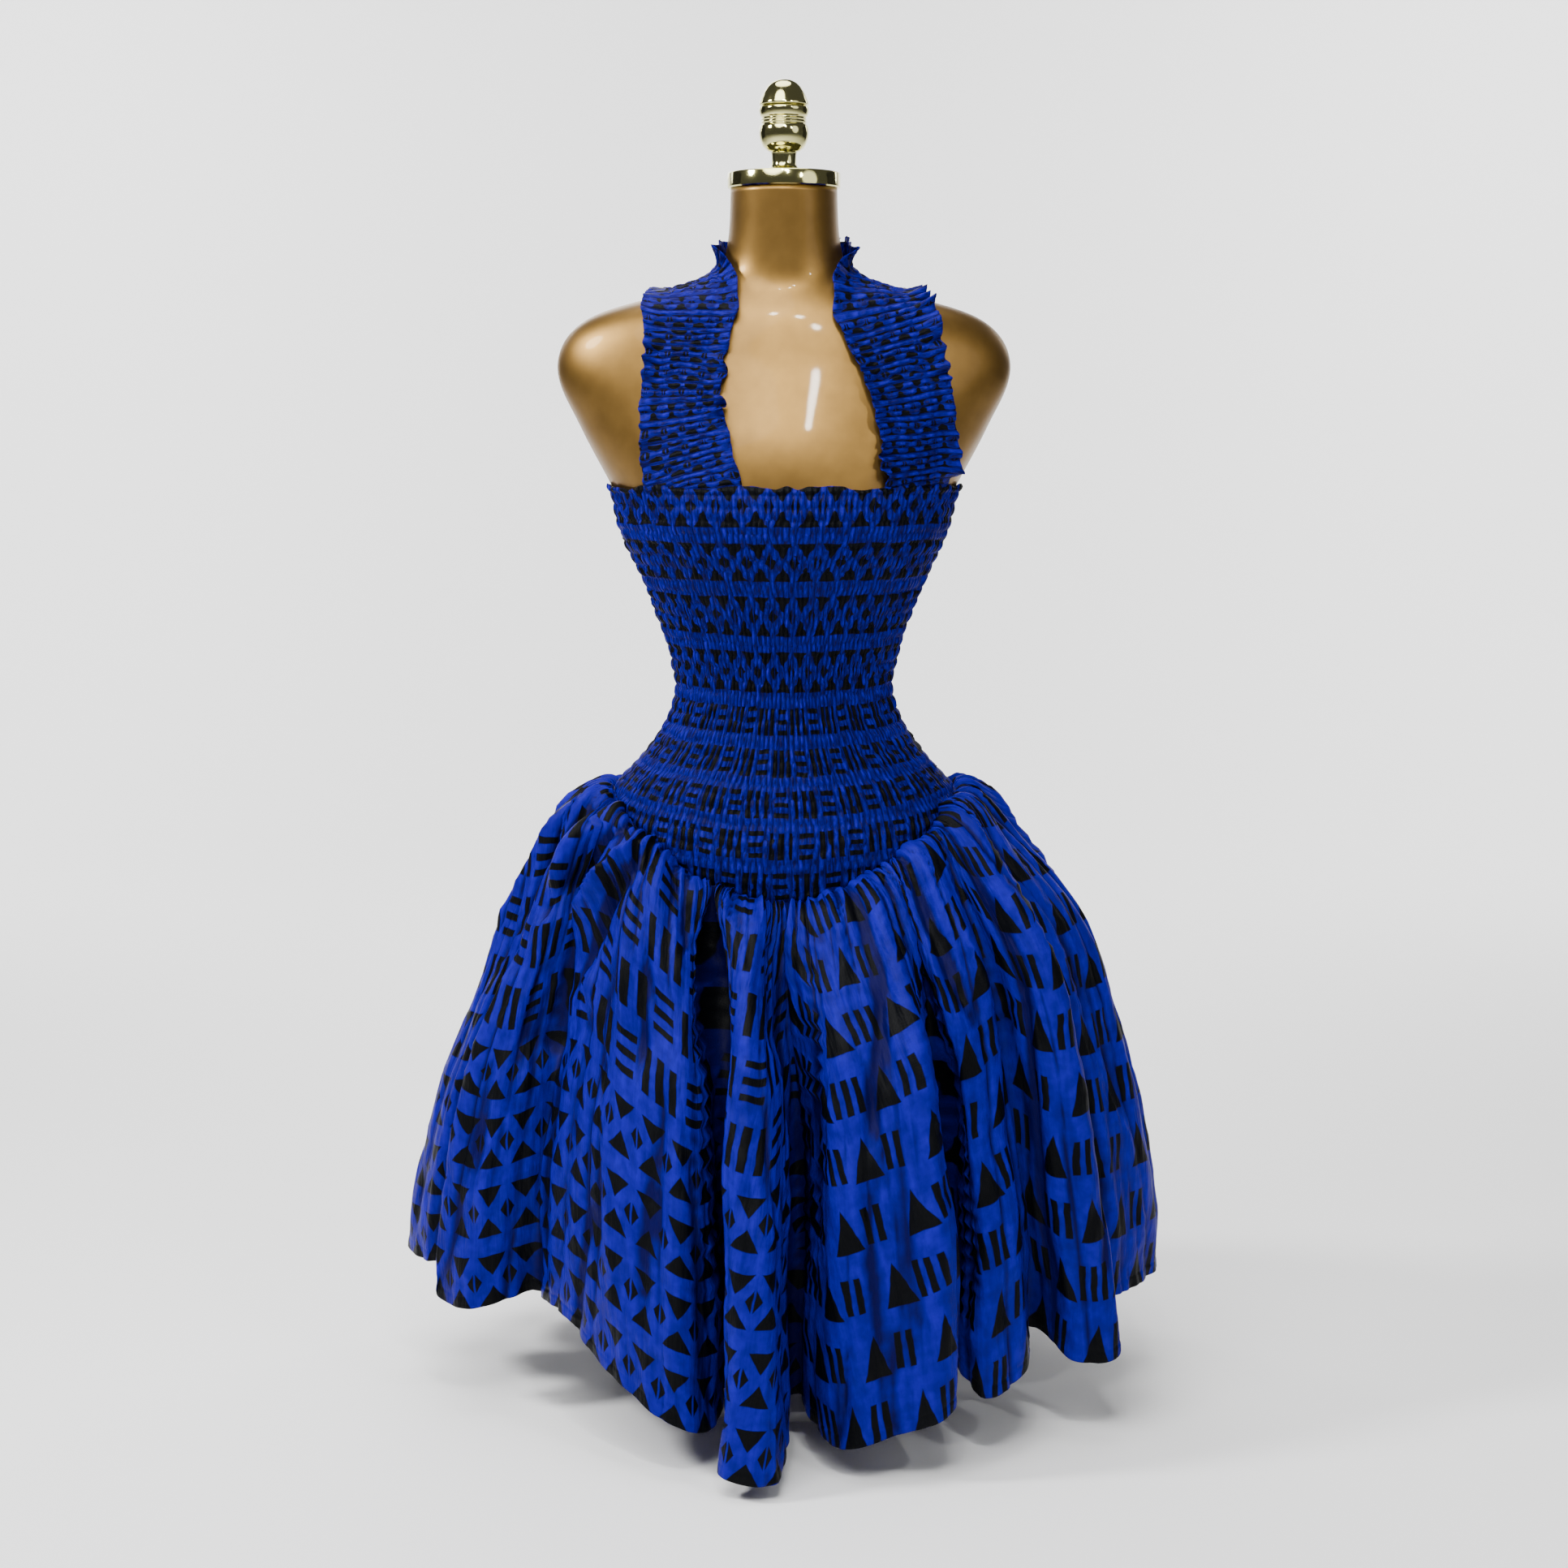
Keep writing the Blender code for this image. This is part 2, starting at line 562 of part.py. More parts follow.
def skirt_panels(material, collection):
    """The skirt's three panels, cut from one gathered surface at seams in its valleys."""
    surface = skirt_surface()
    offsets = wall_offsets(surface)
    across = np.roll(surface, -1, axis=1) - np.roll(surface, 1, axis=1)
    across /= np.linalg.norm(across, axis=-1, keepdims=True)
    count = surface.shape[1]
    valleys, place = {}, 0
    for fold in FOLDS:
        place += (3 if fold.spread > WIDE_FOLD else 2) * STATION_STEPS + 1
        valleys[fold.name] = place
        place += STATION_STEPS
    last_valley = valleys[FOLDS[-1].name]
    seams = (
        last_valley - count,
        valleys[CENTRE_SEAM_FOLD],
        valleys[SIDE_SEAM_FOLD],
        last_valley,
    )
    titles = ("skirt_front_right", "skirt_front_left", "skirt_back")
    for title, first, last in zip(titles, seams, seams[1:]):
        picks = np.arange(first, last + 1) % count
        outside = surface[:, picks].copy()
        outside[:, 0] += across[:, picks[0]] * SEAM_GAP / 2
        outside[:, -1] -= across[:, picks[-1]] * SEAM_GAP / 2
        inside = outside - offsets[:, picks] * CLOTH
        inside[0, :, 2] = outside[0, :, 2]
        wall(title, outside, inside, material, collection)


def strap_rows(table, rows):
    """Middle points and half widths along a strap, evenly spaced by length."""
    points = np.array([(s.x, s.y, s.z) for s in table])
    lengths = np.linalg.norm(np.diff(points, axis=0), axis=1)
    places = np.concatenate([[0.0], np.cumsum(lengths)])
    at = np.linspace(0.0, places[-1], rows + 1)
    line = np.stack([smooth_lookup(places, points[:, k], at) for k in range(3)], -1)
    return line, smooth_lookup(places, column(table, "half_width"), at)


def walk(tree, start, direction, distance, steps):
    """Goes a distance over a surface in small steps. Returns where it ends and the normal."""
    spot, normal = start
    heading = Vector(direction)
    for _ in range(steps):
        heading = (heading - normal * heading.dot(normal)).normalized()
        near = tree.find_nearest(spot + heading * (distance / steps))
        spot, normal = near[0], near[1]
    return spot, normal


def strap(name, table, tree, material, collection):
    """A shirred strap that lies on the form, with a loose frill along both edges."""
    line, half_widths = strap_rows(table, STRAP_ROWS)
    side = 1.0 if table[0].x > 0.0 else -1.0
    shares = np.array(STRAP_ACROSS)
    spots = np.zeros((STRAP_ROWS + 1, len(shares), 3))
    normals = np.zeros_like(spots)
    for k, (middle, half_width) in enumerate(zip(line, half_widths)):
        start = tree.find_nearest(Vector(middle))[:2]
        ahead = Vector(line[min(k + 1, STRAP_ROWS)] - line[k - 1]) if k else Vector((0, 0, 1))
        across = start[1].cross(ahead.normalized()).normalized() * side
        for n, share in enumerate(shares):
            steps = max(1, round(abs(share) * WALK_STEPS))
            heading = across * math.copysign(1.0, share)
            spots[k, n], normals[k, n] = walk(tree, start, heading, abs(share) * half_width, steps)
    spacing = np.linalg.norm(np.gradient(spots, axis=0), axis=-1)
    room = np.clip(spacing / spacing.mean(), 0.0, 1.0) ** 2
    row = np.arange(STRAP_ROWS + 1)[:, None]
    wave = (-1.0) ** row * room
    ends = (row == 0) | (row == STRAP_ROWS)
    loose = np.maximum(0.0, np.abs(shares) - FRILL_FROM) / (1.0 - FRILL_FROM)
    lift = loose * (FRILL_LIFT + FRILL_WAVE * wave * np.sign(shares))
    lift = STRAP_CLEARANCE + np.where(ends, END_LIFT * lift, lift)
    pucker = STRAP_PUCKER * (1 + wave * (-1.0) ** np.arange(len(shares)))
    pucker = np.where(ends | (loose > 0.0), 0.0, pucker)
    inside = spots + normals * lift[..., None]
    outside = spots + normals * (lift + CLOTH + pucker)[..., None]
    return wall(name, outside, inside, material, collection)


def trim_strap(piece, side):
    """Trims a strap at the bodice's top edge and at the seam behind the neck."""
    for vertex in piece.data.vertices:
        vertex.co.z = max(vertex.co.z, BODICE_TOP + SEAM_GAP)
        vertex.co.x = side * max(side * vertex.co.x, SEAM_GAP / 2)


def build():
    """Models the dress and the form."""
    clear_scene()
    parts = new_collection("halter_dress_on_form")
    blue = make_material("printed_cotton", (0.004, 0.010, 0.400), 0.70, 0.0)
    gold_paint = make_material("gold_painted_form", (0.420, 0.255, 0.090), 0.28, 0.60)
    brass = make_material("polished_brass", (0.780, 0.640, 0.300), 0.15, 1.0)
    steel = make_material("white_coated_steel", (0.700, 0.700, 0.690), 0.40, 0.0)

    torso = form_torso(gold_paint, parts)
    form_hardware(brass, steel, parts)
    bodice_panel("bodice_front", -90.0, blue, parts)
    bodice_panel("bodice_back", 90.0, blue, parts)
    skirt_panels(blue, parts)
    shape = bmesh.new()
    shape.from_mesh(torso.data)
    tree = BVHTree.FromBMesh(shape)
    shape.free()
    for name, table, side in (("strap_right", STRAP_RIGHT, -1), ("strap_left", STRAP_LEFT, 1)):
        trim_strap(strap(name, table, tree, blue, parts), side)


build()
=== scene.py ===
"""Looks of a halter neck dress in printed cotton, on a gold dress form with a brass neck cap.

Metres, +Z up, the front faces -Y and the wearer's right side is at -X. Angles go round the
body in degrees from the front, towards +X. The cloth is a thin shell on the frame's solids.
"""

import math
from collections import namedtuple

import bmesh
import bpy
import numpy as np
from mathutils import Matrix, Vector
from mathutils.bvhtree import BVHTree


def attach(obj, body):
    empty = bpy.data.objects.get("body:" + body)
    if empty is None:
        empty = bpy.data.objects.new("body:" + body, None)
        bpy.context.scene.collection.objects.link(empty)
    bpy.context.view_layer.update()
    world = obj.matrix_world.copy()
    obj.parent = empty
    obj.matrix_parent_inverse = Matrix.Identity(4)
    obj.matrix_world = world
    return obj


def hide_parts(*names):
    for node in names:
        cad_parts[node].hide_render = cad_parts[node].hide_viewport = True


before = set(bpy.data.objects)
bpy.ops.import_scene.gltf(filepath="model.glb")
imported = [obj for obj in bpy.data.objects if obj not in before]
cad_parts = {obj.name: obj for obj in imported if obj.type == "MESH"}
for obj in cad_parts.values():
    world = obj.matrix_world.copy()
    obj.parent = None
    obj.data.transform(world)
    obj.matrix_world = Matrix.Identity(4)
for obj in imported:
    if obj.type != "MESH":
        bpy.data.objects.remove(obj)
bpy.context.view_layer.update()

bl_info = {
    "name": "Shirred Halter Dress",
    "version": (1, 0, 0),
    "blender": (4, 5, 0),
    "location": "View3D > Sidebar > Dress",
    "description": "Adds a shirred halter dress in printed cotton on a dress form",
    "category": "Add Mesh",
}


def rows_of(kind, *rows):
    """A table whose rows are named tuples."""
    return tuple(kind(*row) for row in rows)


# Clearances and lines of the dress, as in the part's source
CLOTH = 0.0018  # wall of the solids' plain cloth
SEAM_GAP = 0.0003
CHORD_GAP = 0.0007  # more at the drop waist, whose two edges have their corners at other angles
BODY_CLEARANCE = 0.0032  # between the form and the inside of the bodice
STRAP_CLEARANCE = 0.0020
BODICE_TOP = 0.8850
SEAM_FRONT = 0.4920  # height of the drop waist seam at the middle of the front
SEAM_SIDE_RISE = 0.1050
SEAM_BACK_DIP = 0.0450
SEAM_SPREAD = 50.0  # degrees over which the seam rises from its point
HEM_FRONT = 0.0200
HEM_SIDE_RISE = 0.1150
HEM_BACK_DIP = 0.0500
HEM_SPREAD = 42.0
HEM_LED = 0.55  # how far the waist's columns stand under the folds, against evenly spread
STATION_STEPS = 2  # columns from one station of the hem to the next
WIDE_FOLD = 9.0  # a fold that spreads further than this has a station on its crest too
VALLEY_SPREAD = 1.3
MOUTH_SHARE = 0.8  # how round a narrow fold's end is, as a share of the fold's mouth
CENTRE_SEAM_FOLD = "tongue"  # the centre front seam lies in the valley after this fold
SIDE_SEAM_FOLD = "side_left"  # and the wearer's left side seam after this one
CREST = 0.0040  # how far the crest of a wide fold stands out beyond its two sides
FRILL_FROM = 0.6  # share of a strap's half width where its loose frill starts
END_LIFT = 0.15  # share of the frill's lift that is left where the strap is sewn down
BUST_MOUND = 0.0090
BUST_ANGLE = 28.0
BUST_SPREAD = 16.0
BUST_HEIGHT = 0.8550
BUST_TALL = 0.0420

# Shirred bodice
FRILL_DEEP = 0.0085  # loose edge above the first elastic thread
FRILL_LEAN = 0.0018
FRILL_TURN = 0.0060  # cloth turned in behind the loose edge
FRILL_ROWS = 8
BODICE_GATHERED = 1.48  # flat cloth for each length of shirred cloth across the bodice
PRINT_ACROSS = 1.25  # how much closer the print is drawn than the bodice is gathered
PRINT_DOWN = 1.26
PRINT_CHANGE = 0.208  # length from the top edge to where the print changes
COLUMNS_A_PUCKER = 5
BODICE_ROWS = 186
WAIST_HALF_WIDTH = 0.0985
PINNED = 0.52  # share of a pucker's height left at an elastic thread
PHASE_DRIFT = 0.38
BAND_SHIFT = 0.30  # how far the puckers of one band stand beside those of the next
PUFF = 0.0004  # how far the cloth stands out half way between two threads
THREAD_WOBBLE = 0.0016
WOBBLE_PUCKERS = 5  # puckers from one random value of the wobble to the next
WOBBLE_FALL = 0.015  # and the same down the bodice
PUCKER_ROUND = 0.85  # power of a sine wave: under one the puckers are round and their valleys sharp
BAND_ROUND = 0.6  # the same from one elastic thread to the next
PUCKER_LEVEL = 0.80  # mean height of the puckers, as a share of the height that is set
PUCKER_UNEVEN = 0.50
PUCKER_RATE = 0.83  # random values to a pucker, under one so that here and there two run together
BAND_RATE = 0.71
SIDE_PUCKERS = 1.5  # a half lies flat at its side seam and is whole one part in this of a pucker in
SHIRRING_OUT = 0.0010  # the valleys stand this far off the solids' inner face
FRILL_ARC = 0.75  # share of a half turn that the loose edge leans through
FRILL_WAVE = 0.0010
FRILL_PINCH = 0.4
FRILL_CALM = 0.8  # share of all relief that is gone at the very edge
EDGE_ROUGH = 0.0020  # how unevenly high the loose edge is, from pucker to pucker
EDGE_ROLL = 0.0014  # and over several puckers
EDGE_DROP = 0.0010
TUCKED_FROM = 0.985  # share of the way down from which the last rows turn in under the seam
TUCKED_IN = 0.0006
TUCKED_CALM = 0.75
LEAST_OUT = 0.0022  # nearest that the turned-in cloth comes to the form
# the cloth turned in behind the loose edge, row by row: how far under the edge and how far in
TURNED_IN = ((0.0004, 0.0009), (0.0020, 0.0016), (FRILL_TURN, 0.0018))
TURNED_CUT = (0.0022, 0.0006, 0.0)
BUNCH = 0.15  # share of a pucker by which the flat cloth bunches in the valleys
RING_HEIGHT = 0.800  # height of the ring round which the columns are evenly spaced
RING_STEPS = 720

# Skirt
SKIRT_COLUMN = 0.0036  # length of hem from one column to the next
BACK_COLUMN = 0.0043  # the same on the back panel, the largest
SIDE_COLUMNS = 26  # columns reckoned past each edge of a panel, which are not kept
SKIRT_ROWS = 84
HEM_ROWS = 16
HEM_ZONE = 0.965  # share of the way down where the close rows of the hem start
HEM_DEEP = 0.0102
HEM_RAISE = 0.0003
HEM_EDGE = 0.0012
STITCH_DEEP = 0.0004
STITCH_HALF_WIDTH = 0.0011
PULL_HEIGHT = 0.0006  # pucker that the hem's stitches pull into the cloth beside them
PULL_SIZE = 0.009
PULL_REACH = 0.016
ROWS_CLOSER = 0.30  # share by which rows stand closer at the waist and wider half way down
TUCK_UP = 0.0045  # the gathered edge under the bodice
TUCK_CLEARANCE = 0.0016
GATHER_COUNT = 150
GATHER_HEIGHT = 0.0042
GATHER_WIDTH = 0.30  # share of the space between two gathers
GATHER_WIDENS = 0.110  # length in which a gather becomes twice as wide
GATHER_STRAY = 0.3  # how far a gather is off its even place, as a share of that space
GATHER_SHORTEST = 0.045
GATHER_LONGER = 0.190
GATHER_LEAN = 0.020
FLUTE_LEAN = 0.25
FLUTE_REACH = 0.34  # length of cloth from one random value of a flute to the next
FLUTE_SHARP = 0.6  # power under one, which makes the valleys sharp
FLUTE_FROM = 1.1  # how far under the seam a flute is whole, against its size
SWEEP_STEPS = 22
SWEEP_WIDER = 1.05  # what the table's widths and depths are multiplied by
SWEEP_DEEPER = 1.70
SWEEP_ROUND = 1.3  # power of the crease's flank: two is a bell, one a tent
SWELLS_FROM = 0.20  # how far under the seam the broad swells are whole
CREASE_LEVEL = 0.3
TOP_CUT = 0.7  # width of a panel's cut at the waist, before it is gathered, against its hem

# Straps
STRAP_ROWS = 300
STRAP_HALF_COLUMNS = 22
STRAP_PITCH = 0.0062
STRAP_BAND = 0.25  # share of the half width between two elastic threads
STRAP_PUCKER = 0.0030
STRAP_GATHERED = 1.45  # flat cloth for each length of strap
STRAP_PRINT_ACROSS = 1.60  # how much closer the print is drawn than the cloth is gathered
STRAP_PRINT_ALONG = 2.20
EDGE_WAVE = 0.0170
EDGE_LIFT = 0.0058
EDGE_RIPPLE = 0.0044
INNER_RAGGED = 0.42  # how far the edge by the neck comes and goes, as a share of the half width
OUTER_RAGGED = 0.12
STRAP_DRIFT = 0.45
STRAP_OUT = 0.0010
STRAP_RATE = 0.77  # random values to a pucker
STRAP_LEVEL = 0.85
STRAP_UNEVEN = 0.4
LOOSE_LOWER = 0.4  # share of a pucker's height that is gone at the loose edge
LOOSE_PINCH = 0.6  # share of a pucker's height in the loose frill
RIPPLE_STRAY = 5.2  # radians by which an edge's ripples come early or late
RIPPLE_LEVEL = 0.65  # mean height of the ripples, as a share of EDGE_RIPPLE
RIPPLE_UNEVEN = 0.75
RIPPLE_SMALL = 0.4
END_STEEP = 22.0  # the frill rises to its full lift over one part in so many of the length
EDGE_SWING = 0.0016  # how far a ripple moves the loose edge along the strap
SWING_BEHIND = 0.8
STRAP_BUNCH = 0.0040

# Form and stand
FORM_COLUMNS = 48
FORM_ROWS = 44
NECK_MIDDLE = -0.010
CAP_RADIUS = 0.0535
CAP_HEIGHT = 0.0145
CAP_EDGE = 0.0015
KNOB_STEPS = 5  # steps from one row of the knob's profile to the next
POLE_RADIUS = 0.0125
SOCKET_RADIUS = 0.0400
SOCKET_HEIGHT = 0.0300
SOCKET_PLATE = 0.0060
SOCKET_NECK = 0.0200
BASE_RADIUS = 0.1400
BASE_HEIGHT = 0.0100
BASE_CHAMFER = 0.0025
TURNED_STEPS = 128

# Camera and stage
CAMERA_DISTANCE = 2.7
CAMERA_HEIGHT = 0.9285
CAMERA_DOWN = 7.06
FOCAL = 64.1
SENSOR = 36.0
PAPER_HALF = 8.0
PAPER_STEPS = 48
PAPER_FLAT = 3.4  # where the paper starts to bend up behind the dress
PAPER_BEND = 1.6
CARD_HALF = 1.1
CARD_PLACE = (3.4, 1.6, 1.6)
CARD_TURN = 60.0
AIM_HEIGHT = 0.75  # height at which the lamps are aimed

MM = 1000.0

Section = namedtuple("Section", "height half_width front back middle", defaults=(0.0,))
FORM = rows_of(
    Section,
    (0.4000, 0.1580, 0.0950, 0.1000),
    (0.4500, 0.1710, 0.1050, 0.1130),
    (0.5000, 0.1790, 0.1110, 0.1180),
    (0.5500, 0.1770, 0.1110, 0.1130),
    (0.5800, 0.1665, 0.1035, 0.1015),
    (0.6000, 0.1535, 0.0995, 0.0945),
    (0.6150, 0.1395, 0.0955, 0.0885),
    (0.6310, 0.1255, 0.0925, 0.0835),
    (0.6475, 0.1140, 0.0895, 0.0785),
    (0.6640, 0.1055, 0.0875, 0.0755),
    (0.6780, 0.1005, 0.0865, 0.0740),
    (0.6920, 0.0985, 0.0860, 0.0735),
    (0.7100, 0.1010, 0.0870, 0.0735),
    (0.7450, 0.1110, 0.0930, 0.0750),
    (0.7780, 0.1235, 0.1015, 0.0790),
    (0.8100, 0.1375, 0.1115, 0.0845),
    (0.8410, 0.1520, 0.1165, 0.0895),
    (0.8716, 0.1590, 0.1150, 0.0930),
    (0.9170, 0.1850, 0.1090, 0.1000),
    (0.9470, 0.1990, 0.0990, 0.1010),
    (0.9775, 0.2147, 0.0890, 0.1000),
    (0.9965, 0.2180, 0.0830, 0.0970),
    (1.0153, 0.2135, 0.0780, 0.0930),
    (1.0304, 0.2030, 0.0740, 0.0890),
    (1.0435, 0.1850, 0.0700, 0.0840),
    (1.0540, 0.1560, 0.0660, 0.0790),
    (1.0630, 0.1180, 0.0620, 0.0730),
    (1.0720, 0.0840, 0.0580, 0.0670, -0.001),
    (1.0850, 0.0630, 0.0550, 0.0610, -0.003),
    (1.1050, 0.0545, 0.0530, 0.0560, -0.005),
    (1.1350, 0.0515, 0.0515, 0.0525, -0.008),
    (1.1625, 0.0506, 0.0506, 0.0506, -0.010),
)

# The deep folds of the hem, as in the part's source
Fold = namedtuple("Fold", "name centre spread reach skew drop valley valley_reach lift")
FOLDS = rows_of(
    Fold,
    ("side_right", -88.0, 5.0, 0.366, -0.018, 0.004, -79.0, 0.332, 0.000),
    ("hip_right", -71.8, 4.0, 0.338, -0.030, 0.022, -66.0, 0.262, -0.010),
    ("wide_front", -32.0, 17.5, 0.287, 0.024, -0.010, -12.5, 0.205, 0.022),
    ("tongue", -5.2, 4.6, 0.336, 0.000, 0.004, 3.2, 0.205, 0.028),
    ("broad_front", 18.0, 9.7, 0.312, 0.042, -0.005, 37.0, 0.252, 0.006),
    ("narrow_front", 44.0, 7.0, 0.303, -0.008, 0.022, 53.5, 0.285, -0.014),
    ("hip_left", 57.3, 2.8, 0.346, 0.030, 0.036, 62.5, 0.300, -0.004),
    ("side_left", 76.0, 7.5, 0.356, 0.022, 0.006, 90.0, 0.318, 0.004),
    ("back_1", 100.0, 6.0, 0.352, 0.006, 0.004, 109.5, 0.296, 0.006),
    ("back_2", 119.0, 5.5, 0.338, 0.010, 0.010, 128.0, 0.282, 0.008),
    ("back_3", 138.0, 6.5, 0.342, -0.010, 0.004, 148.0, 0.270, 0.010),
    ("back_4", 157.0, 5.0, 0.326, 0.012, 0.012, 166.0, 0.262, 0.008),
    ("back_5", 176.0, 7.0, 0.338, 0.000, 0.006, 187.0, 0.258, 0.010),
    ("back_6", 196.0, 5.5, 0.330, -0.012, 0.010, 205.0, 0.266, 0.006),
    ("back_7", 215.0, 7.0, 0.346, 0.008, 0.004, 225.5, 0.276, 0.010),
    ("back_8", 235.0, 5.5, 0.336, 0.010, 0.012, 244.5, 0.290, 0.006),
    ("back_9", 254.5, 6.0, 0.354, -0.006, 0.004, 263.0, 0.316, 0.004),
)

Profile = namedtuple("Profile", "drop right left")
SKIRT_PROFILE = rows_of(
    Profile,
    (-0.008, 0.070, 0.080),
    (0.020, 0.170, 0.170),
    (0.085, 0.290, 0.300),
    (0.180, 0.405, 0.500),
    (0.290, 0.520, 0.670),
    (0.420, 0.650, 0.765),
    (0.560, 0.775, 0.845),
    (0.700, 0.875, 0.915),
    (0.850, 0.950, 0.970),
    (1.000, 1.000, 1.000),
)

# Creases listed for the skirt, each through three places given as an angle round the
# body and a height. A ridge stands out by its depth and a groove, below zero, goes in.
Sweep = namedtuple("Sweep", "angle_1 z_1 angle_2 z_2 angle_3 z_3 width depth")
SWEEPS = rows_of(
    Sweep,
    # wearer's right of the front, where the cloth swings across towards the hip
    (-72, 0.575, -73.4, 0.536, -72, 0.480, 0.007, 0.0085),
    (-62, 0.565, -71.1, 0.509, -72, 0.468, 0.008, -0.0085),
    (-53, 0.550, -60.1, 0.517, -70, 0.458, 0.007, 0.0100),
    (-52, 0.532, -56.6, 0.485, -66, 0.399, 0.011, -0.0120),
    (-71, 0.451, -69.4, 0.393, -68, 0.322, 0.010, -0.0080),
    (-47, 0.530, -43.3, 0.466, -38, 0.382, 0.013, 0.0080),
    (-43, 0.534, -33.0, 0.496, -29, 0.447, 0.006, -0.0070),
    (-38, 0.453, -35.2, 0.402, -33, 0.349, 0.006, -0.0045),
    (-30, 0.496, -21.8, 0.433, -17, 0.346, 0.009, -0.0095),
    (-24, 0.507, -12.7, 0.456, -9, 0.377, 0.010, 0.0055),
    (-74, 0.590, -80, 0.530, -86, 0.400, 0.009, -0.0060),
    (-80, 0.590, -88, 0.520, -94, 0.410, 0.010, 0.0060),
    (-62, 0.430, -50, 0.400, -40, 0.340, 0.010, 0.0040),
    (-26, 0.487, -16, 0.296, -13, 0.101, 0.011, -0.0070),
    (-44, 0.330, -36, 0.240, -33, 0.120, 0.014, 0.0045),
    (-26, 0.330, -27, 0.220, -24, 0.080, 0.012, -0.0040),
    (-40, 0.250, -44, 0.170, -46, 0.080, 0.012, -0.0035),
    # middle of the front
    (-10, 0.495, -8, 0.400, -7, 0.250, 0.008, 0.0050),
    (-5, 0.481, -2, 0.419, -1, 0.351, 0.007, -0.0060),
    (3, 0.485, 5, 0.420, 6, 0.300, 0.008, 0.0045),
    (10, 0.469, 6, 0.305, 5, 0.132, 0.010, -0.0080),
    # wearer's left of the front
    (23, 0.500, 17, 0.440, 13, 0.300, 0.012, 0.0070),
    (26, 0.450, 20, 0.368, 17, 0.290, 0.007, -0.0050),
    (39, 0.423, 37, 0.259, 36, 0.112, 0.012, -0.0100),
    (33, 0.515, 29, 0.440, 27, 0.220, 0.010, 0.0045),
    (40, 0.530, 37, 0.450, 41, 0.320, 0.010, 0.0060),
    (47, 0.545, 42, 0.470, 46, 0.360, 0.008, -0.0050),
    (56, 0.565, 48, 0.500, 50, 0.330, 0.011, 0.0060),
    (64, 0.580, 55, 0.500, 58, 0.360, 0.009, -0.0050),
    (74, 0.590, 64, 0.520, 64, 0.380, 0.011, 0.0060),
    (84, 0.590, 74, 0.500, 72, 0.330, 0.010, -0.0045),
    (20, 0.300, 15, 0.200, 19, 0.080, 0.013, -0.0030),
    (13, 0.280, 11, 0.180, 12, 0.060, 0.012, 0.0025),
    (72, 0.300, 76, 0.230, 74, 0.150, 0.012, 0.0035),
    # sides and back
    (96, 0.590, 93, 0.510, 97, 0.360, 0.010, 0.0060),
    (104, 0.585, 105, 0.480, 101, 0.300, 0.009, -0.0050),
    (118, 0.578, 113, 0.500, 117, 0.330, 0.011, 0.0060),
    (131, 0.570, 136, 0.490, 134, 0.290, 0.009, -0.0050),
    (146, 0.560, 141, 0.480, 140, 0.350, 0.010, 0.0065),
    (160, 0.550, 158, 0.440, 161, 0.270, 0.009, -0.0045),
    (172, 0.545, 178, 0.460, 176, 0.320, 0.011, 0.0060),
    (186, 0.545, 181, 0.430, 184, 0.230, 0.009, -0.0040),
    (199, 0.550, 203, 0.480, 197, 0.330, 0.010, 0.0060),
    (214, 0.560, 210, 0.470, 213, 0.300, 0.010, -0.0050),
    (229, 0.570, 235, 0.500, 232, 0.340, 0.011, 0.0065),
    (243, 0.578, 240, 0.480, 243, 0.300, 0.009, -0.0045),
    (256, 0.585, 261, 0.520, 259, 0.380, 0.010, 0.0055),
    (139, 0.290, 143, 0.210, 138, 0.130, 0.012, 0.0030),
    (216, 0.300, 212, 0.200, 217, 0.120, 0.012, -0.0030),
)

# Upright flutes that the gathers let down, and the swells and creases of the cloth below them
Flute = namedtuple("Flute", "size height seed_step")
FLUTES = (Flute(0.064, 0.0098, 21), Flute(0.029, 0.0058, 22), Flute(0.015, 0.0030, 33))
BROAD_SWELL = Flute(0.095, 0.0034, 1)
SMALL_SWELL = Flute(0.038, 0.0016, 2)
CREASES = Flute(0.030, 0.0016, 3)
FINE_CREASES = Flute(0.014, 0.0007, 4)

# How far the cloth lies behind the mean of so many columns beside it where a fold's painted shade
# is darkest
Depth = namedtuple("Depth", "columns behind")
FINE_FOLDS = Depth(3, 0.0012)
MIDDLE_FOLDS = Depth(11, 0.0040)
LARGE_FOLDS = Depth(SIDE_COLUMNS - 1, 0.042)
LARGE_DARKEST = 0.68
FINE_LEAST = 0.45  # share of the fine folds' shade that is left far from the seam
FINE_FADES = 0.12

# Random waves over shirred cloth: length from one random value to the next along the row of
# puckers, values to a unit and first value across it, and what is added to the seed. The
# bodice's are counted in puckers and bands, the straps' in metres and half widths.
Wave = namedtuple("Wave", "length rate start seed_step")
BODICE_WAVES = {
    "drift": Wave(7, 0.7, 0.0, 2),
    "shift": Wave(3, 0.9, 0.4, 6),
    "loose": Wave(3, 0.0, 0.0, 4),
    "rough": Wave(1.6, 0.0, 0.0, 5),
    "roll": Wave(6.0, 0.0, 0.0, 7),
    "shade": Wave(2.3, 1.3, 0.0, 8),
}
STRAP_WAVES = {
    "edge": Wave(0.012, 0.6, 3.0, 0),
    "drift": Wave(0.030, 1.5, 7.0, 1),
    "stray": Wave(0.028, 1.0, 2.0, 3),
    "size": Wave(0.040, 1.0, 9.0, 5),
    "ripple": Wave(0.009, 1.0, 5.0, 4),
    "shade": Wave(0.009, 4.0, 11.0, 6),
}
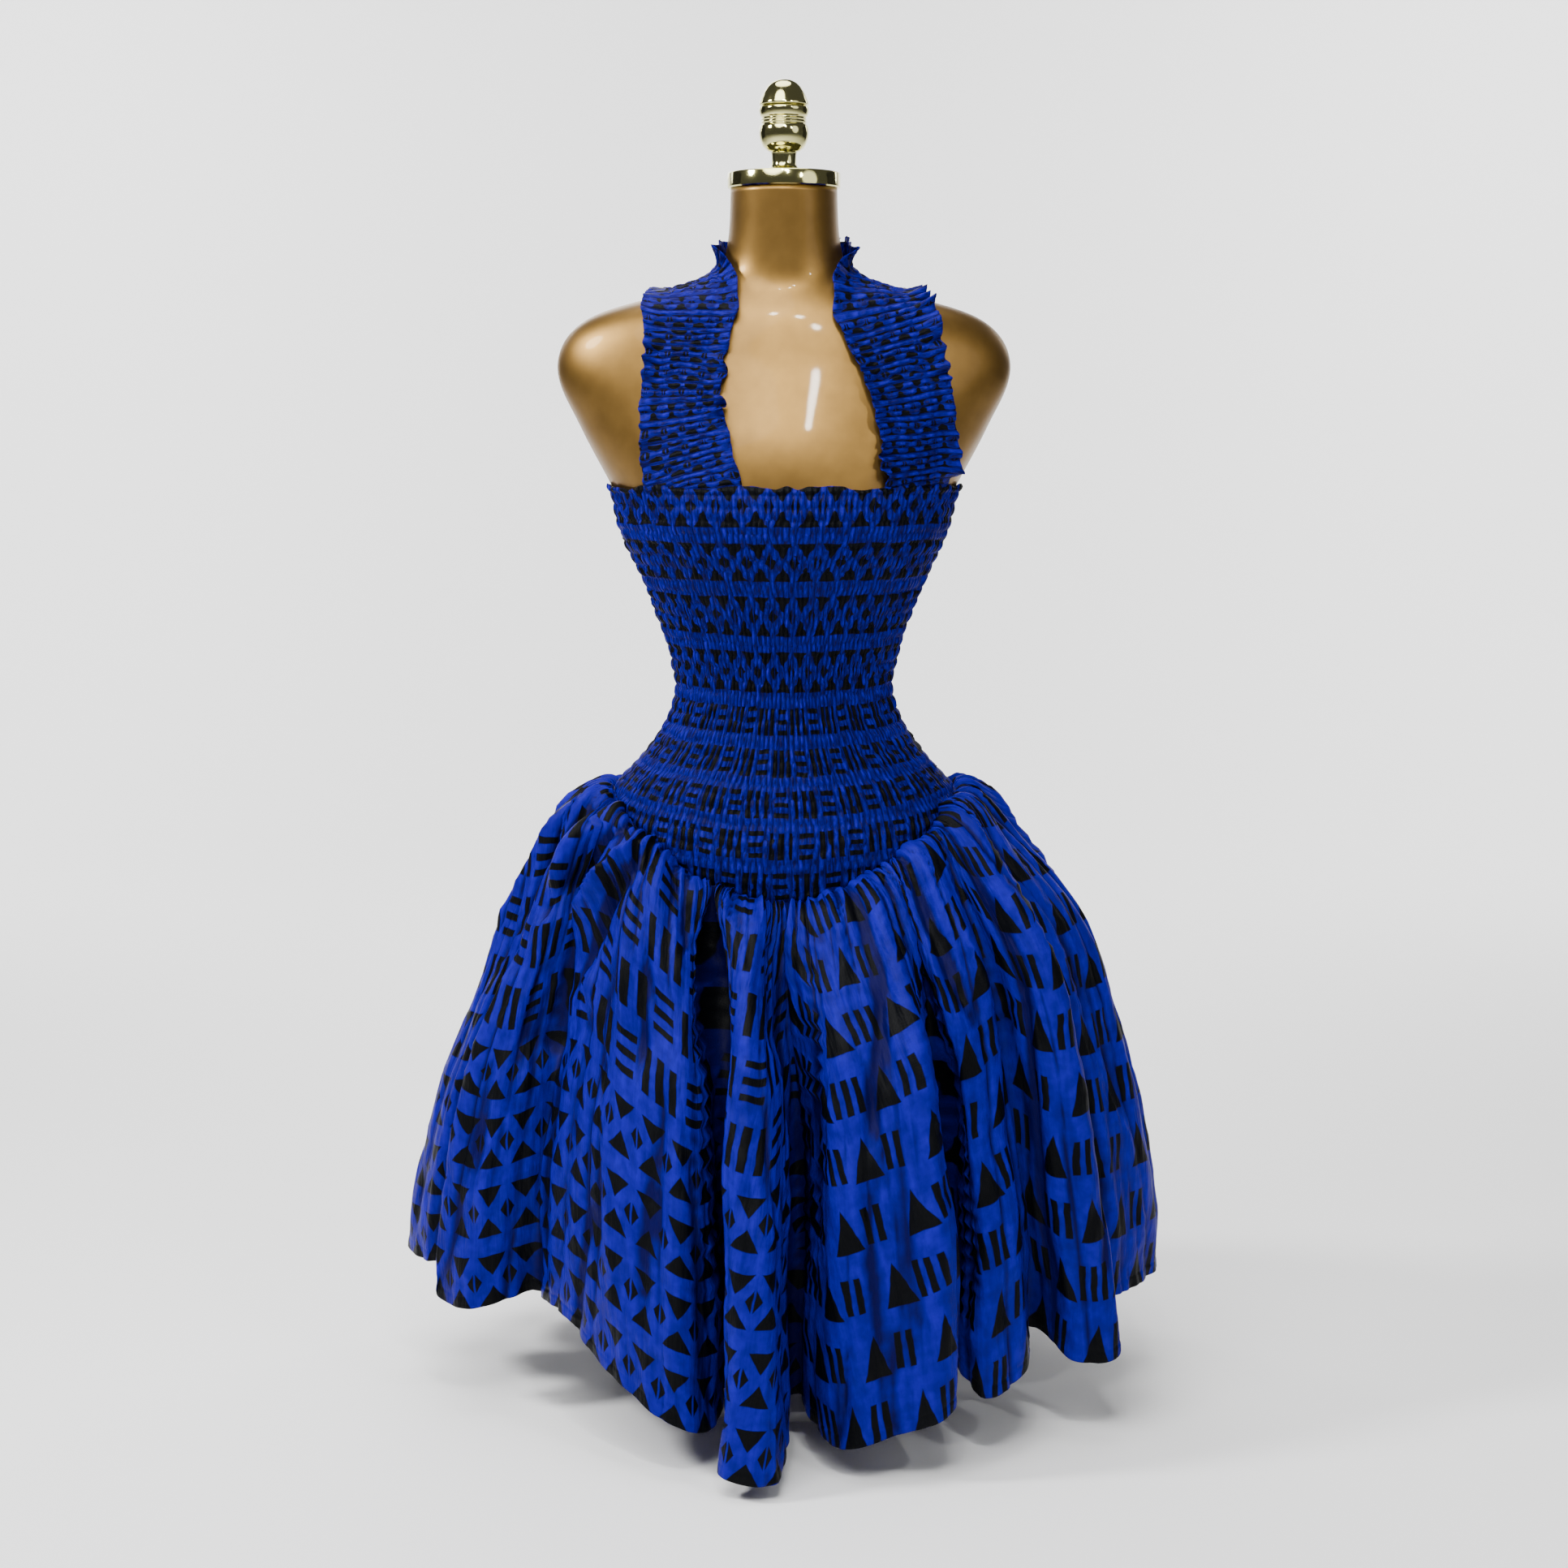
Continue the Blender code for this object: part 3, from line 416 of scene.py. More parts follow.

# Painted shade of shirred cloth: how narrow the dark of a valley is, how dark it is, how much
# lighter beside a tall pucker, how dark the cloth is painted along an elastic thread and how uneven
# all of it is
Shade = namedtuple("Shade", "narrow valley beside thread uneven")
BODICE_SHADE = Shade(1.3, 1.05, 0.45, 0.18, 0.35)
STRAP_SHADE = Shade(1.2, 1.1, 0.0, 0.5, 0.4)

Strap = namedtuple("Strap", "x y z half_width")
STRAP_RIGHT = rows_of(
    Strap,
    (-0.088, -0.115, 0.8790, 0.048),
    (-0.098, -0.100, 0.9600, 0.038),
    (-0.091, -0.080, 1.0150, 0.040),
    (-0.083, -0.045, 1.0500, 0.046),
    (-0.076, -0.002, 1.0720, 0.048),
    (-0.058, 0.040, 1.0860, 0.040),
    (-0.032, 0.060, 1.0900, 0.034),
    (0.000, 0.066, 1.0910, 0.032),
)
STRAP_LEFT = rows_of(
    Strap,
    (0.135, -0.090, 0.8790, 0.041),
    (0.121, -0.085, 0.9600, 0.040),
    (0.104, -0.070, 1.0150, 0.044),
    (0.087, -0.042, 1.0500, 0.047),
    (0.076, -0.002, 1.0720, 0.048),
    (0.058, 0.040, 1.0860, 0.040),
    (0.032, 0.060, 1.0900, 0.034),
    (0.000, 0.066, 1.0910, 0.032),
)

# Places where a strap's loose edge stands up or juts out: side 1 is the edge by the neck
Tip = namedtuple("Tip", "place side spread lift out")
STRAP_TIPS = {
    "right": (
        Tip(0.655, 1, 0.022, 0.0150, 0.009),
        Tip(0.20, 1, 0.060, 0.0020, 0.005),
        Tip(0.52, -1, 0.050, 0.0030, 0.005),
    ),
    "left": (
        Tip(0.650, 1, 0.020, 0.0200, 0.002),
        Tip(0.47, -1, 0.040, 0.0050, 0.005),
        Tip(0.06, -1, 0.050, 0.0050, 0.006),
        Tip(0.30, 1, 0.060, 0.0030, 0.004),
    ),
}

Turned = namedtuple("Turned", "radius height")
KNOB = rows_of(
    Turned,
    (0.0000, 0.0850),
    (0.0075, 0.0837),
    (0.0140, 0.0798),
    (0.0190, 0.0729),
    (0.0222, 0.0656),
    (0.0232, 0.0614),
    (0.0205, 0.0603),
    (0.0230, 0.0588),
    (0.0235, 0.0556),
    (0.0225, 0.0514),
    (0.0208, 0.0491),
    (0.0216, 0.0477),
    (0.0208, 0.0464),
    (0.0216, 0.0449),
    (0.0208, 0.0434),
    (0.0226, 0.0409),
    (0.0234, 0.0357),
    (0.0226, 0.0294),
    (0.0196, 0.0226),
    (0.0150, 0.0184),
    (0.0122, 0.0168),
    (0.0116, 0.0094),
    (0.0128, 0.0042),
    (0.0165, 0.0013),
    (0.0170, 0.0000),
    (0.0000, 0.0000),
)


def linear(hex_color):
    """Linear red, green and blue of an sRGB hex colour."""
    parts = [int(hex_color[k : k + 2], 16) / 255 for k in (1, 3, 5)]
    return tuple(p / 12.92 if p <= 0.04045 else ((p + 0.055) / 1.055) ** 2.4 for p in parts)


# Numbers and curves


def column(rows, name):
    """One named column of a table."""
    return np.array([getattr(row, name) for row in rows])


def cubic(share, start, start_slope, end, end_slope):
    """Cubic from one value to another, with a slope at each."""
    square, cube = share**2, share**3
    return (
        (2 * cube - 3 * square + 1) * start
        + (cube - 2 * square + share) * start_slope
        + (3 * square - 2 * cube) * end
        + (cube - square) * end_slope
    )


def smooth_lookup(places, values, at):
    """Smooth curve through the values at rising places, as a cubic with averaged slopes."""
    places = np.asarray(places, float)
    values = np.asarray(values, float)
    slopes = np.gradient(values, places)
    at = np.clip(at, places[0], places[-1])
    left = np.clip(np.searchsorted(places, at, side="right") - 1, 0, len(places) - 2)
    step = places[left + 1] - places[left]
    share = (at - places[left]) / step
    rise, next_rise = step * slopes[left], step * slopes[left + 1]
    return cubic(share, values[left], rise, values[left + 1], next_rise)


def running_length(points):
    """Length from the first point to each one, along the first axis."""
    steps = np.linalg.norm(np.diff(points, axis=0), axis=-1)
    return np.concatenate([np.zeros((1, *steps.shape[1:])), np.cumsum(steps, axis=0)])


def half_turn(degrees):
    """The same angle between -180 and 180 degrees."""
    return (np.asarray(degrees, float) + 180.0) % 360.0 - 180.0


def smooth_noise(x, y, seed, around=64):
    """Smooth random values from -1 to 1, one cell to a unit, repeating after so many in x."""
    cells = np.random.default_rng(seed).uniform(-1.0, 1.0, (around, 64))
    x, y = np.broadcast_arrays(x, y)
    left, low = np.floor(x).astype(int), np.floor(y).astype(int)
    across, up = x - left, y - low
    across, up = across**2 * (3 - 2 * across), up**2 * (3 - 2 * up)
    corner = [[cells[(left + i) % around, (low + j) % 64] for i in (0, 1)] for j in (0, 1)]
    rows = [side[0] * (1 - across) + side[1] * across for side in corner]
    return rows[0] * (1 - up) + rows[1] * up


def random_wave(wave, along, across, seed):
    """One of the random waves over shirred cloth, from -1 to 1."""
    return smooth_noise(along / wave.length, across * wave.rate + wave.start, seed + wave.seed_step)


def point_line(degrees, front, side_rise, back_dip, spread):
    """Height of a line round the body that comes to a point at the front and dips behind."""
    away = half_turn(degrees)
    behind = 180.0 - np.abs(away)
    rise = 1.0 - np.exp(-((away / spread) ** 2))
    dip = np.exp(-((behind / spread) ** 2))
    return front + side_rise * rise - back_dip * dip


def seam_height(degrees):
    """Height of the seam that joins the bodice to the skirt."""
    return point_line(degrees, SEAM_FRONT, SEAM_SIDE_RISE, SEAM_BACK_DIP, SEAM_SPREAD)


def hem_height(degrees):
    """Height of the hem before its folds drop or lift it."""
    return point_line(degrees, HEM_FRONT, HEM_SIDE_RISE, HEM_BACK_DIP, HEM_SPREAD)


def bust_mound(degrees, heights, bridged):
    """How far the bust stands out. Cloth bridges the dip between its two sides."""
    away = np.abs(half_turn(degrees)) - BUST_ANGLE
    away = np.maximum(away, 0.0) if bridged else away
    across = np.exp(-((away / BUST_SPREAD) ** 2))
    up = np.exp(-(((heights - BUST_HEIGHT) / BUST_TALL) ** 2))
    return BUST_MOUND * across * up


def body_points(degrees, heights, out=0.0, bridged=True):
    """Points on the form's surface, moved outwards by the given distance in plan."""
    degrees, heights, out = np.broadcast_arrays(
        np.asarray(degrees, float), np.asarray(heights, float), np.asarray(out, float)
    )
    turn = np.radians(degrees)
    levels = column(FORM, "height")
    width, front, back, middle = (
        smooth_lookup(levels, column(FORM, name), heights)
        for name in ("half_width", "front", "back", "middle")
    )
    depth = np.where(np.cos(turn) > 0.0, front, back)
    normal = np.stack([np.sin(turn) / width, -np.cos(turn) / depth], -1)
    normal /= np.linalg.norm(normal, axis=-1, keepdims=True)
    push = (out + bust_mound(degrees, heights, bridged))[..., None] * normal
    x = width * np.sin(turn) + push[..., 0]
    y = middle - depth * np.cos(turn) + push[..., 1]
    return np.stack([x, y, heights], -1)


def shirring_shade(shade, ridge, cell, pinch, shirred, wave):
    """How much shade is painted on each point of shirred cloth, from how deep it lies between two
    puckers or at a thread.
    """
    valley = (1.0 - ridge) ** shade.narrow * (shade.valley - shade.beside * cell)
    return (valley + shade.thread * (1.0 - pinch) * shirred) * (1.0 + shade.uneven * wave)


# Meshes


def placed(name, data):
    """A new object in the scene."""
    new = bpy.data.objects.new(name, data)
    bpy.context.scene.collection.objects.link(new)
    return new


def mesh_object(name, work, material):
    """A bmesh as an object in the scene."""
    mesh = bpy.data.meshes.new(name)
    work.to_mesh(mesh)
    work.free()
    mesh.materials.append(material)
    return placed(name, mesh)


def finish_piece(name, work, material, body_slot, *nodes):
    """Makes a bmesh an object in the frame that replaces some of its nodes."""
    piece = mesh_object(name, work, material)
    piece.data.shade_smooth()
    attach(piece, "root")
    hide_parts(*nodes)
    return piece


def cloth_piece(name, points, flat, painted_shades, material, thickness, node):
    """A sheet of cloth through rows of points that run upwards, with its flat cut as its UVs
    and an attribute for how much shade is painted on each point, from how deep in a fold it lies."""
    rows, columns = points.shape[:2]
    work = bmesh.new()
    bmesh.ops.create_grid(work, x_segments=columns - 1, y_segments=rows - 1, size=1.0)
    piece = finish_piece(name, work, material, "dress_cloth", node)
    mesh = piece.data
    mesh.vertices.foreach_set("co", points.reshape(-1))
    corners = np.empty(len(mesh.loops), int)
    mesh.loops.foreach_get("vertex_index", corners)
    layer = mesh.uv_layers.new(name="cut")
    layer.data.foreach_set("uv", flat.reshape(-1, 2)[corners].reshape(-1))
    depth = mesh.attributes.new("groove", "FLOAT", "POINT")
    depth.data.foreach_set("value", np.clip(painted_shades, 0.0, 1.0).reshape(-1))
    mesh.update()
    if thickness:
        wall = piece.modifiers.new("cloth", "SOLIDIFY")
        wall.thickness = thickness
        wall.offset = -1.0
        wall.use_rim = True
    return piece


def spun(name, node, profile, foot, material, body_slot, middle):
    """A turned piece about an upright axis, from a half profile that runs down its outside."""
    work = bmesh.new()
    corners = [work.verts.new((row.radius, 0.0, row.height)) for row in profile]
    edges = [work.edges.new(pair) for pair in zip(corners, corners[1:])]
    bmesh.ops.spin(
        work,
        geom=corners + edges,
        cent=(0.0, 0.0, 0.0),
        axis=(0.0, 0.0, 1.0),
        angle=math.tau,
        steps=TURNED_STEPS,
        use_merge=True,
    )
    bmesh.ops.remove_doubles(work, verts=work.verts, dist=0.00001)
    bmesh.ops.translate(work, verts=work.verts, vec=(0.0, middle, foot))
    bmesh.ops.recalc_face_normals(work, faces=work.faces)
    piece = finish_piece(name, work, material, body_slot, node)
    piece.data.set_sharp_from_angle(angle=math.radians(38.0))
    return piece


# Materials


def node(tree, kind, *sockets, out=0, **settings):
    """Adds a shader node, such as "Math ADD". Its sockets are filled in order or by name."""
    family, _, operation = kind.partition(" ")
    new = tree.nodes.new("ShaderNode" + family)
    if operation:
        new.operation = operation
    for name, value in settings.items():
        setattr(new, name, value)
    named = sockets[0] if sockets and isinstance(sockets[0], dict) else dict(enumerate(sockets))
    for key, value in named.items():
        if isinstance(value, bpy.types.NodeSocket):
            tree.links.new(value, new.inputs[key])
        elif value is not None:
            new.inputs[key].default_value = value
    return new.outputs[out]


def new_material(name, **values):
    """A Principled material with values on the shader's own sockets, and its node tree."""
    material = bpy.data.materials.new(name)
    material.use_nodes = True
    shader = material.node_tree.nodes["Principled BSDF"]
    for key, value in values.items():
        shader.inputs[key.replace("_", " ")].default_value = value
    return material, material.node_tree, shader


def node_group(name, names, draw):
    """A group whose number sockets have the given names and whose one output is Ink."""
    tree = bpy.data.node_groups.new(name, "ShaderNodeTree")
    for title in names:
        tree.interface.new_socket(title, in_out="INPUT", socket_type="NodeSocketFloat")
    tree.interface.new_socket("Ink", in_out="OUTPUT", socket_type="NodeSocketFloat")
    start = tree.nodes.new("NodeGroupInput")
    end = tree.nodes.new("NodeGroupOutput")
    ink = draw(tree, *(start.outputs[title] for title in names))
    tree.links.new(ink, end.inputs["Ink"])
    return tree


def soft_edge(tree, distance):
    """Ink inside the outline and none outside it, with an edge as soft as dye in cotton."""
    return node(tree, "MapRange", distance, 0.1, 1.1, 1.0, 0.0, interpolation_type="SMOOTHSTEP")


def draw_bar(tree, x, y, width, height):
    """An upright bar."""
    side = node(tree, "Math MULTIPLY_ADD", width, -0.5, node(tree, "Math ABSOLUTE", x))
    end = node(tree, "Math MULTIPLY_ADD", height, -0.5, node(tree, "Math ABSOLUTE", y))
    return soft_edge(tree, node(tree, "Math MAXIMUM", side, end))


def draw_triangle(tree, x, y, width, height):
    """A triangle that stands on its base."""
    up = node(tree, "Math DIVIDE", y, height)
    half = node(tree, "Math MULTIPLY", width, node(tree, "Math MULTIPLY_ADD", up, -0.5, 0.25))
    side = node(tree, "Math SUBTRACT", node(tree, "Math ABSOLUTE", x), half)
    foot = node(tree, "Math MULTIPLY_ADD", height, -0.5, node(tree, "Math MULTIPLY", y, -1.0))
    return soft_edge(tree, node(tree, "Math MAXIMUM", side, foot))


def repeat_cells(tree, u, v, wide, tall, shifted):
    """Places inside each repeat of the print, from its middle, and a random value for it."""
    down = node(tree, "Math DIVIDE", v, tall)
    row = node(tree, "Math FLOOR", down)
    shift = node(tree, "Math FRACT", node(tree, "Math MULTIPLY", row, 0.5)) if shifted else 0.0
    over = node(tree, "Math ADD", node(tree, "Math DIVIDE", u, wide), shift)
    cell = node(tree, "CombineXYZ", node(tree, "Math FLOOR", over), row, 0.0)
    chance = node(tree, "TexWhiteNoise", cell, noise_dimensions="3D")
    x, y = (
        node(
            tree,
            "Math MULTIPLY",
            node(tree, "Math SUBTRACT", node(tree, "Math FRACT", share), 0.5),
            size,
        )
        for share, size in ((over, wide), (down, tall))
    )
    return x, y, chance


def nearest_of_three(tree, place, pitch, last=1.0):
    """The place from the nearest of three marks that are a pitch apart."""
    nearest = node(tree, "Math ROUND", node(tree, "Math DIVIDE", place, pitch))
    nearest = node(tree, "Math MINIMUM", node(tree, "Math MAXIMUM", nearest, -1.0), last)
    return node(tree, "Math MULTIPLY_ADD", nearest, -pitch, place)


def most(tree, *inks):
    """The darkest of several inks."""
    ink = inks[0]
    for other in inks[1:]:
        ink = node(tree, "Math MAXIMUM", ink, other)
    return ink


class PrintGroups:
    """The print's marks and its three repeats as node groups, in millimetres."""

    def __init__(self):
        size = ("X", "Y", "Width", "Height")
        self.bar = node_group("print_bar", size, draw_bar)
        self.triangle = node_group("print_triangle", size, draw_triangle)
        self.bands = node_group("print_triangle_bands", ("U", "V"), self.draw_bands)
        self.bars = node_group("print_bars", ("U", "V"), self.draw_bars)
        self.tall = node_group("print_tall_triangles", ("U", "V"), self.draw_tall)

    def draw_bands(self, tree, u, v):
        """Bands of triangles that point at each other, 18 mm tall and 14.6 mm from the band's
        middle, with half lenses between them."""
        x, y, chance = repeat_cells(tree, u, v, 37.0, 68.0, False)
        width = node(tree, "Math MULTIPLY_ADD", chance, 6.0, 23.5)
        moved = node(tree, "Math MULTIPLY_ADD", chance, -3.0, node(tree, "Math ADD", x, 1.5))
        low = node(tree, "Math ADD", y, 14.6)
        high = node(tree, "Math SUBTRACT", 14.6, y)
        inward = node(tree, "Math SUBTRACT", 13.9, node(tree, "Math ABSOLUTE", x))
        return most(
            tree,
            node(tree, "Group", moved, low, width, 18.0, node_tree=self.triangle),
            node(tree, "Group", moved, high, width, 18.0, node_tree=self.triangle),
            node(tree, "Group", y, inward, 17.0, 6.0, node_tree=self.triangle),
        )

    def draw_bars(self, tree, u, v):
        """Three upright bars, 17 mm apart, beside a stack of three level ones, 16 mm apart. The
        two stand 23 mm from the repeat's middle and some lean."""
        x, y, chance = repeat_cells(tree, u, v, 92.0, 62.0, True)
        tilt = node(tree, "Math MULTIPLY", node(tree, "Math SUBTRACT", chance, 0.5), 0.16)
        leaning = node(tree, "Math MULTIPLY_ADD", y, tilt, x)
        upright = nearest_of_three(tree, node(tree, "Math ADD", leaning, 23.0), 17.0)
        level = nearest_of_three(tree, node(tree, "Math MULTIPLY_ADD", x, tilt, y), 16.0)
        right = node(tree, "Math SUBTRACT", x, 23.0)
        return most(
            tree,
            node(tree, "Group", upright, y, 8.0, 40.0, node_tree=self.bar),
            node(tree, "Group", right, level, 24.0, 6.0, node_tree=self.bar),
        )

    def draw_tall(self, tree, u, v):
        """A tall triangle, 22 to 29 mm wide, beside two or three thin bars, 11 mm apart. Some
        lean."""
        x, y, chance = repeat_cells(tree, u, v, 66.0, 59.0, True)
        tilt = node(tree, "Math MULTIPLY", node(tree, "Math SUBTRACT", chance, 0.5), 0.20)
        leaning = node(tree, "Math MULTIPLY_ADD", y, tilt, x)
        last = node(tree, "Math GREATER_THAN", chance, 0.45)
        bars = nearest_of_three(tree, node(tree, "Math SUBTRACT", leaning, 17.0), 11.0, last)
        left = node(tree, "Math ADD", leaning, 14.0)
        width = node(tree, "Math MULTIPLY_ADD", chance, 7.0, 22.0)
        return most(
            tree,
            node(tree, "Group", left, y, width, 38.0, node_tree=self.triangle),
            node(tree, "Group", bars, y, 5.0, 32.0, node_tree=self.bar),
        )


# A repeat of the print and how much closer it is drawn than the cut
Zone = namedtuple("Zone", "group across down")
# Small folds that are finer than the mesh: folds to a millimetre of the cut across and down it,
# their bump depth and how much shade is painted into them
Crumple = namedtuple("Crumple", "across down depth shade")
BODICE_CRUMPLE = Crumple(0.45, 0.07, 0.0014, 0.90)
SKIRT_CRUMPLE = Crumple(0.075, 0.014, 0.0040, 0.34)
STRAP_CRUMPLE = Crumple(0.06, 0.30, 0.0014, 0.85)
BODICE_BARS = (1.38, 1.26)  # how much closer the bars are drawn at the foot of the bodice
STRAP_BANDS = (1.25, 1.20)
BARS_OVER = 0.262  # length over the hem from which the right of the front has bars
TALL_FROM = 0.045  # where a row of tall triangles starts over the hem


def printed_cotton(name, settings, low, high, split, crumple):
    """Plain woven cotton, wax printed: even thread gives a flat, faintly lit face that wrinkles
    crisply, and the resist leaves near-black marks whose edges are a little unsteady. low and
    high are the repeats under and over the split height on the cut, and crumple is the size of
    the small folds that are finer than the mesh and how much shade is painted into them. Shade
    is also painted towards a dark blue where the cloth lies deep in a fold, a valley or a thread
    line."""
    material, tree, shader = new_material(name, Roughness=0.42, Specular_IOR_Level=0.05)
    place = node(tree, "UVMap", uv_map="cut")
    place = node(tree, "VectorMath SCALE", {0: place, 3: MM})
    # hand-cut blocks wander by about a millimetre in twenty-five
    wander = node(tree, "TexNoise", {"Vector": place, "Scale": 0.04, "Detail": 2.0}, out=1)
    wander = node(tree, "VectorMath SUBTRACT", wander, (0.5, 0.5, 0.5))
    wander = node(tree, "VectorMath SCALE", {0: wander, 3: 5.0})
    printed = node(tree, "VectorMath ADD", place, wander)
    printed = node(tree, "VectorMath SUBTRACT", printed, (0.0, split * MM, 0.0))
    inks = []
    for zone in (low, high):
        spot = node(tree, "VectorMath MULTIPLY", printed, (zone.across, zone.down, 1.0))
        spot = node(tree, "SeparateXYZ", spot)
        inks.append(node(tree, "Group", spot, spot.node.outputs[1], node_tree=zone.group))
    above = node(tree, "Math GREATER_THAN", node(tree, "SeparateXYZ", printed, out=1), 0.0)
    ink = node(tree, "Mix", {0: above, 2: inks[0], 3: inks[1]}, data_type="FLOAT")
    # dye that took unevenly, in patches of about 12 mm
    patch = node(tree, "TexNoise", {"Vector": place, "Scale": 0.08, "Detail": 3.0})
    patch = node(tree, "MapRange", patch, 0.35, 0.65, 0.0, 1.0)
    blue = (*settings.blue, 1.0)
    deep = (*settings.deep_blue, 1.0)
    dye = node(tree, "Mix", {0: patch, 6: deep, 7: blue}, data_type="RGBA", out=2)
    # the narrow folds between puckers go deeper than the mesh, so shade is painted into their
    # valleys as well as bumped
    folds = node(tree, "VectorMath MULTIPLY", place, (crumple.across, crumple.down, 1.0))
    folds = node(tree, "TexNoise", {"Vector": folds, "Scale": 1.0, "Detail": 3.0})
    valley = node(tree, "MapRange", folds, 0.38, 0.62, crumple.shade, 0.0)
    # painted shade: the colour goes towards a dark blue by how deep in a fold, a valley or a thread
    # line each point lies
    groove = node(tree, "Attribute", attribute_name="groove", out=2)
    groove = node(tree, "MapRange", groove, 0.08, 0.9, 0.0, 0.9)
    groove = node(tree, "Math MAXIMUM", groove, valley)
    painted_shade_colour = (*settings.painted_shade_colour, 1.0)
    shaded = node(tree, "Mix", {0: groove, 6: dye, 7: painted_shade_colour}, data_type="RGBA", out=2)
    black = (*settings.ink, 1.0)
    colour = node(tree, "Mix", {0: ink, 6: shaded, 7: black}, data_type="RGBA", out=2)
    tree.links.new(colour, shader.inputs["Base Color"])
    creases = {"Vector": place, "Scale": 0.03, "Detail": 4.0}
    creases = node(tree, "TexNoise", creases, noise_type="RIDGED_MULTIFRACTAL")
    height = node(tree, "Math MULTIPLY_ADD", creases, -0.45, folds)
    rough = node(tree, "Bump", {"Strength": 1.0, "Distance": crumple.depth, "Height": height})
    # the real threads are 0.35 mm apart, drawn 1.2 mm apart so that they show
    flat_place = node(tree, "SeparateXYZ", place)
    threads = [
        node(tree, "Math SINE", node(tree, "Math MULTIPLY", socket, math.tau / 1.2))
        for socket in (flat_place, flat_place.node.outputs[1])
    ]
    weave = node(tree, "Math MULTIPLY", *threads)
    fine = {"Strength": 0.25, "Distance": 0.0003, "Height": weave, "Normal": rough}
    tree.links.new(node(tree, "Bump", fine), shader.inputs["Normal"])
    return material


def gold_paint(settings):
    """Fibreglass sprayed with pearl gold and lacquered: a deep bronze body under a hard clear
    coat that mirrors the lamps sharply."""
    material, tree, shader = new_material(
        "pearl_gold_spray_paint",
        Metallic=0.93,
        Roughness=0.42,
        Coat_Weight=0.08,
        Coat_Roughness=0.05,
        Coat_IOR=1.5,
    )
    place = node(tree, "TexCoord", out="Object")
    # mica flakes are under 0.1 mm, drawn in clouds of 18 mm as the spray gun left them
    cloud = node(tree, "TexNoise", {"Vector": place, "Scale": 55.0, "Detail": 2.0})
    tones = ((*settings.paint_shade, 1.0), (*settings.paint, 1.0))
    colour = node(tree, "Mix", {0: cloud, 6: tones[0], 7: tones[1]}, data_type="RGBA", out=2)
    tree.links.new(colour, shader.inputs["Base Color"])
    return material


def polished_brass(settings):
    """Turned and polished brass plate: near mirror, pale yellow, with the faintest lathe rings."""
    material, tree, shader = new_material(
        "polished_turned_brass", Metallic=1.0, Roughness=0.09, Base_Color=(*settings.brass, 1.0)
    )
    place = node(tree, "SeparateXYZ", node(tree, "TexCoord", out="Object"), out=2)
    # tool marks are 0.1 mm apart, drawn 0.8 mm apart
    rings = node(tree, "Math SINE", node(tree, "Math MULTIPLY", place, math.tau / 0.0008))
    bump = node(tree, "Bump", {"Strength": 0.04, "Distance": 0.0001, "Height": rings})
    tree.links.new(bump, shader.inputs["Normal"])
    return material


def powder_coat(settings):
    """Steel with a baked white powder coat: even, satin, with a fine orange peel."""
    material, tree, shader = new_material(
        "white_powder_coated_steel", Roughness=0.42, Base_Color=(*settings.coat, 1.0)
    )
    place = node(tree, "TexCoord", out="Object")
    # orange peel cells of 1.5 mm
    peel = node(tree, "TexNoise", {"Vector": place, "Scale": 650.0, "Detail": 1.0})
    bump = node(tree, "Bump", {"Strength": 0.12, "Distance": 0.0002, "Height": peel})
    tree.links.new(bump, shader.inputs["Normal"])
    return material


# Form and stand


def form_shell(material):
    """The form's smooth body, as a cage through its sections that is then subdivided."""
    levels = column(FORM, "height")
    share = np.linspace(0.0, len(FORM) - 1.0, FORM_ROWS + 1)
    heights = np.interp(share, np.arange(len(FORM)), levels)
    degrees = np.linspace(0.0, 360.0, FORM_COLUMNS + 1)
    grid = body_points(degrees[None, :], heights[:, None], bridged=False)
    work = bmesh.new()
    bmesh.ops.create_grid(work, x_segments=FORM_COLUMNS, y_segments=FORM_ROWS, size=1.0)
    work.verts.ensure_lookup_table()
    for vertex, place in zip(work.verts, grid.reshape(-1, 3)):
        vertex.co = place
    bmesh.ops.remove_doubles(work, verts=work.verts, dist=0.00001)
    crease = work.edges.layers.float.new("crease_edge")
    rims = [edge for edge in work.edges if edge.is_boundary]
    for edge in rims:
        edge[crease] = 1.0
    bmesh.ops.holes_fill(work, edges=rims, sides=0)
    bmesh.ops.recalc_face_normals(work, faces=work.faces)
    piece = finish_piece("form_shell", work, material, "form_shell", "form_torso")
    smooth = piece.modifiers.new("smooth", "SUBSURF")
    smooth.levels = 2
    smooth.render_levels = 2
    return piece


def rounded(profile, steps):
    """A half profile with so many steps along each stretch, rounded between its rows."""
    at = np.linspace(0.0, len(profile) - 1.0, (len(profile) - 1) * steps + 1)
    rows = np.arange(len(profile))
    radius = np.maximum(smooth_lookup(rows, column(profile, "radius"), at), 0.0)
    height = smooth_lookup(rows, column(profile, "height"), at)
    radius[0] = radius[-1] = 0.0
    return [Turned(float(r), float(h)) for r, h in zip(radius, height)]


